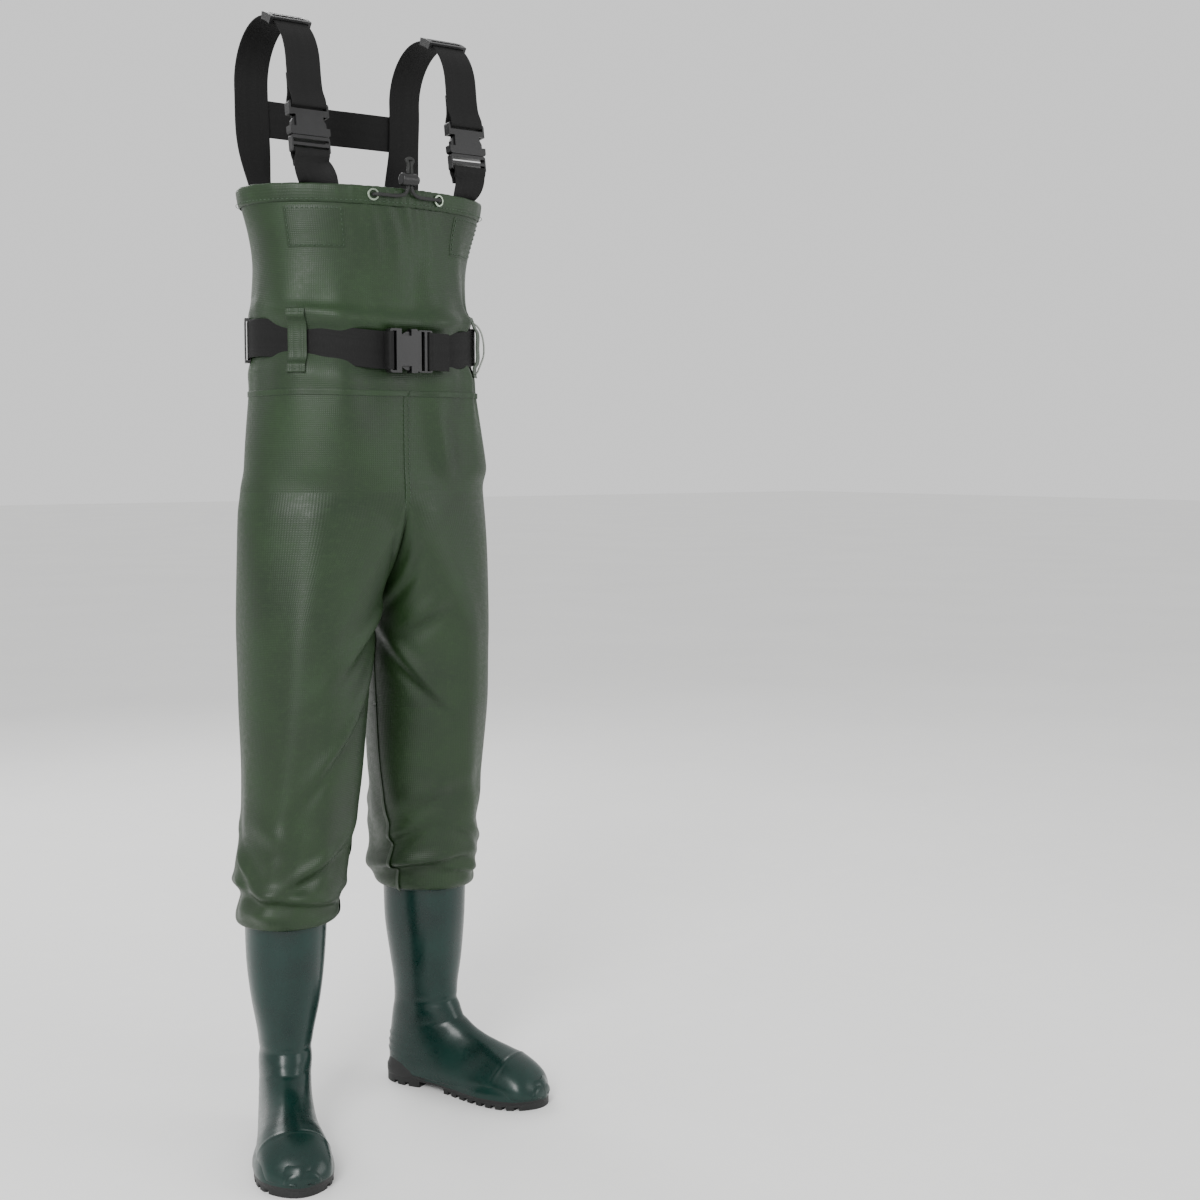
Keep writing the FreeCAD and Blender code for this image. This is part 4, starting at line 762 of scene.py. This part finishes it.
# belt carriers, sewn to the cloth above and below the belt
carrier = {"angles": (-34, -146, 57, 123), "wide": 0.026, "thick": 0.0016,
           # heights from the belt's middle, and how far each stands off the cloth
           "heights": (-0.042, -0.037, -0.032, -0.0275, -0.022, 0, 0.022, 0.0275, 0.032, 0.037, 0.042),
           "off": (0.0012, 0.0012, 0.0030, 0.0065, 0.0100, 0.0106, 0.0100, 0.0065, 0.0030, 0.0012, 0.0012)}
for number, degrees in enumerate(carrier["angles"], 1):
    turn = math.radians(degrees)
    x = (beltShape["halfWidth"] + beltOut) * math.cos(turn)
    heights = beltHeight(x) + np.array(carrier["heights"])
    spots = onGrid(bodyPoints, bodyRow(heights), np.full(len(heights), bodyCol(degrees)))[0]
    normals = np.tile([math.cos(turn) / beltShape["halfWidth"], math.sin(turn) / beltShape["halfDepth"], 0],
                      (len(heights), 1))
    normals /= np.linalg.norm(normals, axis=1, keepdims=True)
    ring = np.array([beltShape["halfWidth"] * math.cos(turn), midY + beltShape["halfDepth"] * math.sin(turn)])
    reach = np.sum((spots[:, :2] - ring) * normals[:, :2], 1)
    off = np.array(carrier["off"])
    out = np.where(off < 0.006, reach + off, np.maximum(off, reach + 0.0015))
    path = np.stack([ring[0] + normals[:, 0] * out, ring[1] + normals[:, 1] * out, heights], -1)
    across = np.tile([-normals[0, 1], normals[0, 0], 0], (len(heights), 1))
    loop = ribbon(f"beltCarrier{number}", path, across, (carrier["wide"], carrier["thick"]), coatedNylon, 0.002)
    if number == 1:
        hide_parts("belt_loops")
    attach(loop, "torso")
    for end in (1, 9):
        rowPoints = path[end] + across[0] * np.linspace(-0.011, 0.011, 9)[:, None] + normals[0] * 0.0009
        seam = stitchRow(f"carrierStitches{number}_{end}", rowPoints, np.tile(normals[0], (9, 1)), sewingThread)
        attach(seam, "torso")

# sewn patches over the tails of the front tabs
patch = {"heights": (1.2720, 1.2190), "degrees": (29.0, 60.0), "lift": 0.0012}
for name, side in sides.items():
    v = np.linspace(0, 1, 20)[:, None]
    u = np.linspace(0, 1, 24)[None]
    heights = patch["heights"][0] + (patch["heights"][1] - patch["heights"][0]) * v + 0 * u
    first, last = ((-patch["degrees"][1], -patch["degrees"][0]) if side > 0 else
                   (-180 + patch["degrees"][0], -180 + patch["degrees"][1]))
    cols = bodyCol(first) + (bodyCol(last) - bodyCol(first)) * u + 0 * v
    spots, normals = onGrid(bodyPoints, bodyRow(heights), cols)
    edge = np.minimum(np.minimum(u, 1 - u) * 24, np.minimum(v, 1 - v) * 20) + 0 * u * v
    raised = patch["lift"] * smoothStep(edge, -0.6, 1.0)
    piece = gridPiece(f"tabPatch_{name}", spots + normals * raised[..., None], coatedNylon, closed=False,
                      uvSize=(0.062, 0.053), subdivide=1)
    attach(piece, "torso")
    if side > 0:
        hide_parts("strap_patches")
    inset = [(1, slice(1, -1)), (slice(1, -1), -2), (-2, slice(-2, 0, -1)), (slice(-2, 0, -1), 1)]
    outline = np.vstack([(spots + normals * (patch["lift"] + 0.0003))[rows, cols] for rows, cols in inset])
    facing = np.vstack([normals[rows, cols] for rows, cols in inset])
    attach(stitchRow(f"patchStitches_{name}", outline, facing, sewingThread), "torso")
report("carriers and patches")

# seams: the rise seam from the waist at the front, under the crotch and up the back; waist seam; inseams
seam = {"wide": 0.0075, "thick": 0.0010, "lift": 0.0006, "tapeWide": 0.022, "tapeThick": 0.0007}
waistHeight = 1.030
frontRows = bodyRow(np.linspace(waistHeight, torsoShape["rise"] + 0.004, 26))
backRows = bodyRow(np.linspace(torsoShape["rise"] + 0.004, 1.272, 70))
frontLine, frontFace = onGrid(bodyPoints, frontRows, np.full(26, bodyCol(-90)))
backLine, backFace = onGrid(bodyPoints, backRows, np.full(70, bodyCol(90)))
riseLine = legPoints["left"][0, columns // 2:][::-1]
riseFace = riseLine - [0, midY, torsoShape["rise"] + 0.02]
riseFace /= np.linalg.norm(riseFace, axis=1, keepdims=True)
riseLine, riseFace = riseLine[2:-2], riseFace[2:-2]


def seamPair(name, line, face, across, node):
    # the felled seam outside and its sealing tape inside
    outside = ribbon(f"{name}Seam", line + face * seam["lift"], across, (seam["wide"], seam["thick"]),
                     coatedNylon, 0.004)
    inside = ribbon(f"{name}Tape", line - face * 0.0022, across, (seam["tapeWide"], seam["tapeThick"]), seamTape,
                    0.005)
    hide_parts(node)
    return [outside, inside]


frontHalf = np.vstack([frontLine, riseLine[:len(riseLine) // 2]])
frontFaces = np.vstack([frontFace, riseFace[:len(riseLine) // 2]])
backHalf = np.vstack([riseLine[len(riseLine) // 2 - 1:], backLine])
backFaces = np.vstack([riseFace[len(riseLine) // 2 - 1:], backFace])
waistCols = np.arange(columns + 2) % columns
waistLine, waistFace = onGrid(bodyPoints, np.full(columns + 2, bodyRow(waistHeight)), waistCols.astype(float))
torsoSeams = (seamPair("centreFront", frontHalf, frontFaces, np.tile(level, (len(frontHalf), 1)),
                       "centre_front_seam_tape")
              + seamPair("centreBack", backHalf, backFaces, np.tile(level, (len(backHalf), 1)),
                         "centre_back_seam_tape")
              + seamPair("waist", waistLine, waistFace, np.tile([0, 0, 1.0], (columns + 2, 1)),
                         "waist_seam_tape"))
for piece in torsoSeams:
    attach(piece, "torso")
for offset in (-0.0032, 0.0032):
    word = "left" if offset > 0 else "right"
    line = backHalf + backFaces * (seam["lift"] + 0.0006) + level * offset
    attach(stitchRow(f"centreBackStitches_{word}", line, backFaces, sewingThread), "torso")
    line = frontHalf + frontFaces * (seam["lift"] + 0.0006) + level * offset
    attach(stitchRow(f"centreFrontStitches_{word}", line, frontFaces, sewingThread), "torso")
for name, side in sides.items():
    inner = columns * 3 // 4
    line = legPoints[name][:, inner]
    face = (normalsOf(legPoints[name]) * side)[:, inner]
    for part, rows, bodies, bend in (("upper", slice(1, upperRows), ("torso", f"thigh_{name}"), hipBend[side]),
                                     ("lower", slice(upperRows - 1, -3), (f"thigh_{name}", f"shin_{name}"),
                                      kneeBend[side])):
        count = len(line[rows])
        piece = ribbon(f"{part}Inseam_{name}", line[rows] + face[rows] * seam["lift"],
                       np.tile([0, 1.0, 0], (count, 1)),
                       (seam["wide"], seam["thick"]), coatedNylon, 0.004)
        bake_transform(piece)
hemSide = np.stack([(hemHalf[3, 0] + 0.0036) * np.cos(hemTurn), (hemHalf[3, 1] + 0.0036) * np.sin(hemTurn) + midY,
                    np.full(len(hemTurn), 1.2795)], -1)
hemFace = np.stack([np.cos(hemTurn) / 0.179, np.sin(hemTurn) / 0.119, 0 * hemTurn], -1)
hemFace /= np.linalg.norm(hemFace, axis=1, keepdims=True)
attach(stitchRow("hemStitches", hemSide, hemFace, sewingThread), "torso")
report("seams")

# boots: each section lies in a plane through a front and a back point of the side view
bootShape = {
    # front y, front z, back y, back z, half width, centre x
    "sections": [(-0.062, 0.330, 0.062, 0.330, 0.056, -0.005), (-0.0615, 0.295, 0.0615, 0.295, 0.0555, -0.0046),
                 (-0.060, 0.250, 0.060, 0.250, 0.053, -0.004), (-0.055, 0.200, 0.055, 0.200, 0.047, -0.003),
                 (-0.049, 0.148, 0.051, 0.144, 0.0375, -0.002), (-0.056, 0.117, 0.058, 0.092, 0.036, -0.001),
                 (-0.076, 0.098, 0.0645, 0.042, 0.036, 0.0), (-0.098, 0.087, 0.054, 0.002, 0.038, 0.0),
                 (-0.117, 0.080, -0.008, -0.014, 0.041, 0.0), (-0.138, 0.073, -0.082, -0.016, 0.0465, -0.001),
                 (-0.163, 0.065, -0.138, -0.012, 0.0485, -0.003), (-0.187, 0.051, -0.186, -0.008, 0.042, -0.006),
                 (-0.204, 0.034, -0.205, 0.002, 0.024, -0.009)],
    "floor": 0.0175, "toeOut": 24.0, "place": (0.138, 0.035), "step": 0.035,
    "outline": [(0, 0.066), (0.024, 0.054), (0.033, 0.030), (0.031, -0.020), (0.043, -0.075), (0.049, -0.125),
                (0.038, -0.180), (-0.008, -0.210), (-0.046, -0.180), (-0.052, -0.125), (-0.041, -0.075),
                (-0.031, -0.020), (-0.033, 0.030), (-0.024, 0.054)],
}


def placeBoot(points, side):
    # from a left boot's own frame to where it stands, mirrored for the right
    turn = math.radians(bootShape["toeOut"])
    x = points[..., 0] * math.cos(turn) - points[..., 1] * math.sin(turn) + bootShape["place"][0]
    y = points[..., 0] * math.sin(turn) + points[..., 1] * math.cos(turn) + bootShape["place"][1] + midY
    return np.stack([side * x, y + side * bootShape["step"], points[..., 2]], -1)


def bootSurface():
    # ellipses through the section table, then a rounded toe; creases, ribs and
    # a toe line are pushed along the normal
    last = len(bootShape["sections"]) - 1
    t = np.concatenate([np.linspace(0, last, 150), last + np.sin(np.linspace(0.12, 1, 9) * math.pi / 2)])
    level = smoothTable(np.minimum(t, last), np.arange(last + 1), bootShape["sections"])
    past = np.clip(t - last, 0, 0.9995)
    shrink = np.sqrt(1 - past ** 2)[:, None]
    turn = 2 * math.pi * np.arange(96)[None] / 96
    middle = (level[:, 0:2] + level[:, 2:4]) / 2
    half = (level[:, 0:2] - level[:, 2:4]) / 2
    y = middle[:, :1] + half[:, :1] * shrink * np.cos(turn) - 0.007 * past[:, None]
    z = middle[:, 1:] + half[:, 1:] * shrink * np.cos(turn)
    squarer = np.sign(np.sin(turn)) * np.abs(np.sin(turn)) ** 0.88
    x = level[:, 5:] + level[:, 4:5] * shrink * squarer
    points = np.stack([x, y, z], -1)
    row = t[:, None]
    push = -0.0016 * bell(row, 4.35, 0.16) * (0.35 + 0.65 * np.cos(turn / 2) ** 2)
    push += -0.0012 * bell(row, 5.35, 0.14) * np.cos(turn / 2) ** 4
    push += 0.0010 * bell(row, 4.8, 0.25) * np.cos(turn / 2) ** 2
    push += 0.0010 * (smoothStep(row, 9.62, 9.70) - smoothStep(row, 9.70, 9.9)) * np.cos(turn / 2) ** 2
    push += 0.0012 * smoothStep(-row, -0.50, -0.42)
    push += 0.0005 * np.sin(turn * 3 + row * 1.7) * bell(row, 2.4, 1.6)
    backRib = np.cos(turn / 2 + math.pi / 2) ** 8
    for height in (0.048, 0.060, 0.072):
        push += 0.0016 * bell(z, height, 0.0022) * backRib * (y > 0)
    push += 0.0010 * bell(np.sin(turn / 2 + math.pi / 2), 0, 0.03) * (row < 6)
    points = points + normalsOf(points) * push[..., None]
    points[..., 2] = np.maximum(points[..., 2], bootShape["floor"])
    return points


def rand():
    # the moulded rand: a band round the footprint that laps the sole's edge and runs up on to the upper
    outline = np.array(bootShape["outline"] + bootShape["outline"][:1])
    run = np.concatenate([[0], np.cumsum(np.linalg.norm(np.diff(outline, axis=0), axis=1))])
    wrapped = np.vstack([outline[-3:-1], outline, outline[1:3]])
    wrappedRun = np.concatenate([run[-3:-1] - run[-1], run, run[-1] + run[1:3]])
    line = smoothTable(np.linspace(0, run[-1], 160, endpoint=False), wrappedRun, wrapped)[::-1]
    ahead = np.roll(line, -1, 0) - np.roll(line, 1, 0)
    out = np.stack([ahead[:, 1], -ahead[:, 0]], -1)
    out /= np.linalg.norm(out, axis=1, keepdims=True)
    heel = smoothStep(line[:, 1], -0.012, 0.012)
    toe = smoothStep(-line[:, 1], 0.10, 0.17)
    profile = [(-0.0078, 0.0335), (-0.0052, 0.0318), (-0.0012, 0.0265), (0.0008, 0.0215), (0.0017, 0.0175),
               (0.0018, 0.0125), (0.0012, 0.0095), (0.0002, 0.0085)]
    rows = []
    for offset, height in profile:
        tall = height + (0.008 * heel + 0.006 * toe) * (height - 0.0085) / 0.025 + 0.004 * heel * (height < 0.018)
        rows.append(np.column_stack([line + out * offset, tall]))
    return np.array(rows)


bootPoints, randPoints = bootSurface(), rand()
for name, side in sides.items():
    shell = gridPiece(f"bootUpper_{name}", placeBoot(bootPoints, side), mouldedPvc, flip=side < 0, thick=0.002)
    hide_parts(f"boot_shell_{name}")
    randPiece = gridPiece(f"bootRand_{name}", placeBoot(randPoints, side), mouldedPvc, flip=side < 0)
    randPiece.data.materials.append(soleRubber)  # heel block and sole edge are one black moulding
    heelSide = np.tile(randPoints[4, :, 1] > -0.016, len(randPoints) - 1) | (np.arange(
        randPoints.shape[1] * (len(randPoints) - 1)) // randPoints.shape[1] >= 5)
    randPiece.data.polygons.foreach_set("material_index", heelSide.astype(np.int32))
    # the welded band that joins cloth and boot: a lip standing a little proud, its edge not quite level
    grid = legPoints[name]
    cuffFace = (normalsOf(grid) * side)[-1]
    cuffFace[:, 2] = 0
    cuffFace /= np.linalg.norm(cuffFace, axis=1, keepdims=True)
    bandOut = np.array([0.0006, 0.0020, 0.0026, 0.0026, 0.0019, 0.0006, -0.0008])[:, None]
    bandUp = np.array([0.0085, 0.0078, 0.0050, -0.0020, -0.0068, -0.0078, -0.0082])[:, None]
    wave = 0.0012 * np.sin(2 * roundTurn + 0.6) + 0.0005 * np.sin(7 * roundTurn)
    bandPoints = np.stack([grid[-1, :, 0] + cuffFace[:, 0] * bandOut, grid[-1, :, 1] + cuffFace[:, 1] * bandOut,
                           0.3165 + bandUp + wave * (bandUp > 0)], -1)
    lip = gridPiece(f"cuffBand_{name}", bandPoints, mouldedPvc, uvSize=(0.39, 0.02), flip=side < 0)
    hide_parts(f"boot_weld_band_{name}")
    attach(lip, f"shin_{name}")
    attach(shell, f"shin_{name}")
    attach(randPiece, f"shin_{name}")
report("boots")

# drawcord: only the run outside the hem is made, from one eyelet to the other over the lock
cordShape = {"thick": 0.0048, "eyeletX": 0.050, "height": 1.288, "clear": 0.0055}
rimWide, rimDeep = torsoShape["halves"][0]
eyeletY = -rimDeep * math.sqrt(1 - (cordShape["eyeletX"] / rimWide) ** 2)
eyeletFace = np.array([cordShape["eyeletX"] / rimWide ** 2, eyeletY / rimDeep ** 2, 0])
eyeletFace /= np.linalg.norm(eyeletFace)
seatPoint = np.array([cordShape["eyeletX"], eyeletY, cordShape["height"]]) + eyeletFace * 0.0026
outside = seatPoint + eyeletFace * cordShape["clear"]
innerX = cordShape["thick"] / 2 + 0.0003
half = np.array([seatPoint - eyeletFace * 0.0030, seatPoint + eyeletFace * 0.0015,
                 outside + [-0.0035, -0.0004, 0],
                 [0.034, outside[1] - 0.0012, 1.288], [0.017, outside[1] - 0.0026, 1.2883],
                 [0.0085, outside[1] - 0.0034, 1.2905], [0.0040, outside[1] - 0.0041, 1.2955],
                 [innerX, outside[1] - 0.0042, 1.3010], [innerX, outside[1] - 0.0042, 1.3200],
                 [innerX, outside[1] - 0.0042, 1.3310], [innerX + 0.0022, outside[1] - 0.0042, 1.3355]])
crown = np.array([[0, outside[1] - 0.0042, 1.3378]])
cordPath = np.vstack([half, crown, (half * [-1, 1, 1])[::-1]]) + [0, midY, 0]
cordPiece, cordLine, cordLong = tube("drawcordLoop", cordPath, cordShape["thick"] / 2, braidedCord, 0.0015)
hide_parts("drawcord")
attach(cordPiece, "torso")

# elastic tool loop at the wearer's left side of the belt
loopShape = {"thick": 0.0026, "degrees": -20,
             "route": [(0.034, -0.0015), (0.0335, 0.0035), (0.031, 0.0080), (0.026, 0.0124), (0.018, 0.0160),
                       (0.008, 0.0182), (-0.002, 0.0190), (-0.013, 0.0182), (-0.022, 0.0150), (-0.030, 0.0118),
                       (-0.036, 0.0090), (-0.0395, 0.0045), (-0.041, -0.0010)]}
turn = math.radians(loopShape["degrees"])
ring = np.array([beltShape["halfWidth"] * math.cos(turn), beltShape["halfDepth"] * math.sin(turn)])
loopFace = np.array([math.cos(turn) / beltShape["halfWidth"], math.sin(turn) / beltShape["halfDepth"]])
loopFace /= np.linalg.norm(loopFace)
route = np.array(loopShape["route"])
loopPath = np.stack([ring[0] + loopFace[0] * route[:, 1], ring[1] + midY + loopFace[1] * route[:, 1],
                     beltHeight(ring[0]) + route[:, 0]], -1)
loopPiece, loopLine, loopLong = tube("elasticToolLoop", loopPath, loopShape["thick"] / 2, paleElastic, 0.0015)
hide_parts("side_cord_loop")
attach(loopPiece, "torso")
report("cords")

# kept CAD pieces get their finish
finishes = {
    "buckle": mouldedAcetal, "slider": mouldedAcetal, "cord_lock_barrel": mouldedAcetal,
    "cord_lock_plunger": mouldedAcetal, "cord_lock_spring": springWire, "eyelets": platedBrass,
    "boot_sole": soleRubber, "boot_insole": evaFoam, "boot_shell": mouldedPvc, "boot_weld_band": mouldedPvc,
    "strap": ribbedWebbing, "front_tab": ribbedWebbing, "belt_webbing": ribbedWebbing,
    "belt_fixed_end": ribbedWebbing,
    "belt_loose_end": ribbedWebbing, "drawcord": braidedCord, "side_cord_loop": paleElastic,
    "seam_tape": seamTape, "belt_loops": coatedNylon, "strap_patches": coatedNylon,
}
for name, node in cadNodes.items():
    for key, material in finishes.items():
        if key in name:
            node.data.materials.clear()
            node.data.materials.append(material)
            break

# floor, light and camera
floor = gridPiece("floor", np.array([[[-30, -30, 0], [30, -30, 0]], [[-30, 30, 0], [30, 30, 0]]], float),
                  surfaceMaterial("matt studio floor", {"dark": "#EFEFEE", "mid": "#F3F3F2", "light": "#F8F8F7",
                                                        "mottleMm": 900, "grainMm": 60, "rough": (0.8, 0.9),
                                                        "bumpMm": 0.05}), closed=False)
world = bpy.data.worlds.new("studio")
bpy.context.scene.world = world
world.use_nodes = True
world.node_tree.nodes["Background"].inputs[0].default_value = linearColour("#FFFFFF")
world.node_tree.nodes["Background"].inputs[1].default_value = 1.0


def softLight(name, place, target, size, power):
    data = bpy.data.lights.new(name, "AREA")
    data.shape, data.size, data.size_y, data.energy = "RECTANGLE", size[0], size[1], power
    lamp = bpy.data.objects.new(name, data)
    lamp.location = place
    lamp.rotation_euler = (Vector(target) - Vector(place)).to_track_quat("-Z", "Y").to_euler()
    bpy.context.scene.collection.objects.link(lamp)


softLight("key", (-2.6, -2.2, 2.5), (0, 0, 0.8), (1.2, 2.2), 120)
softLight("fill", (2.4, -2.8, 1.6), (0, 0, 0.8), (1.6, 2.0), 30)
softLight("back", (0.6, 2.8, 2.6), (0, 0, 0.9), (2.2, 1.6), 60)

view = {"azimuth": -30.0, "height": 0.95, "distance": 2.50, "focal": 53.07, "yaw": 7.55, "tilt": 4.75}
azimuth = math.radians(view["azimuth"])
camera = bpy.data.objects.new("camera", bpy.data.cameras.new("camera"))
camera.data.lens = view["focal"]
camera.data.sensor_width = 36
camera.location = (view["distance"] * math.sin(azimuth), midY - view["distance"] * math.cos(azimuth),
                   view["height"])
camera.rotation_euler = (math.radians(90 - view["tilt"]), 0, azimuth - math.radians(view["yaw"]))
bpy.context.scene.collection.objects.link(camera)
bpy.context.scene.camera = camera

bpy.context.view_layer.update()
report("done")
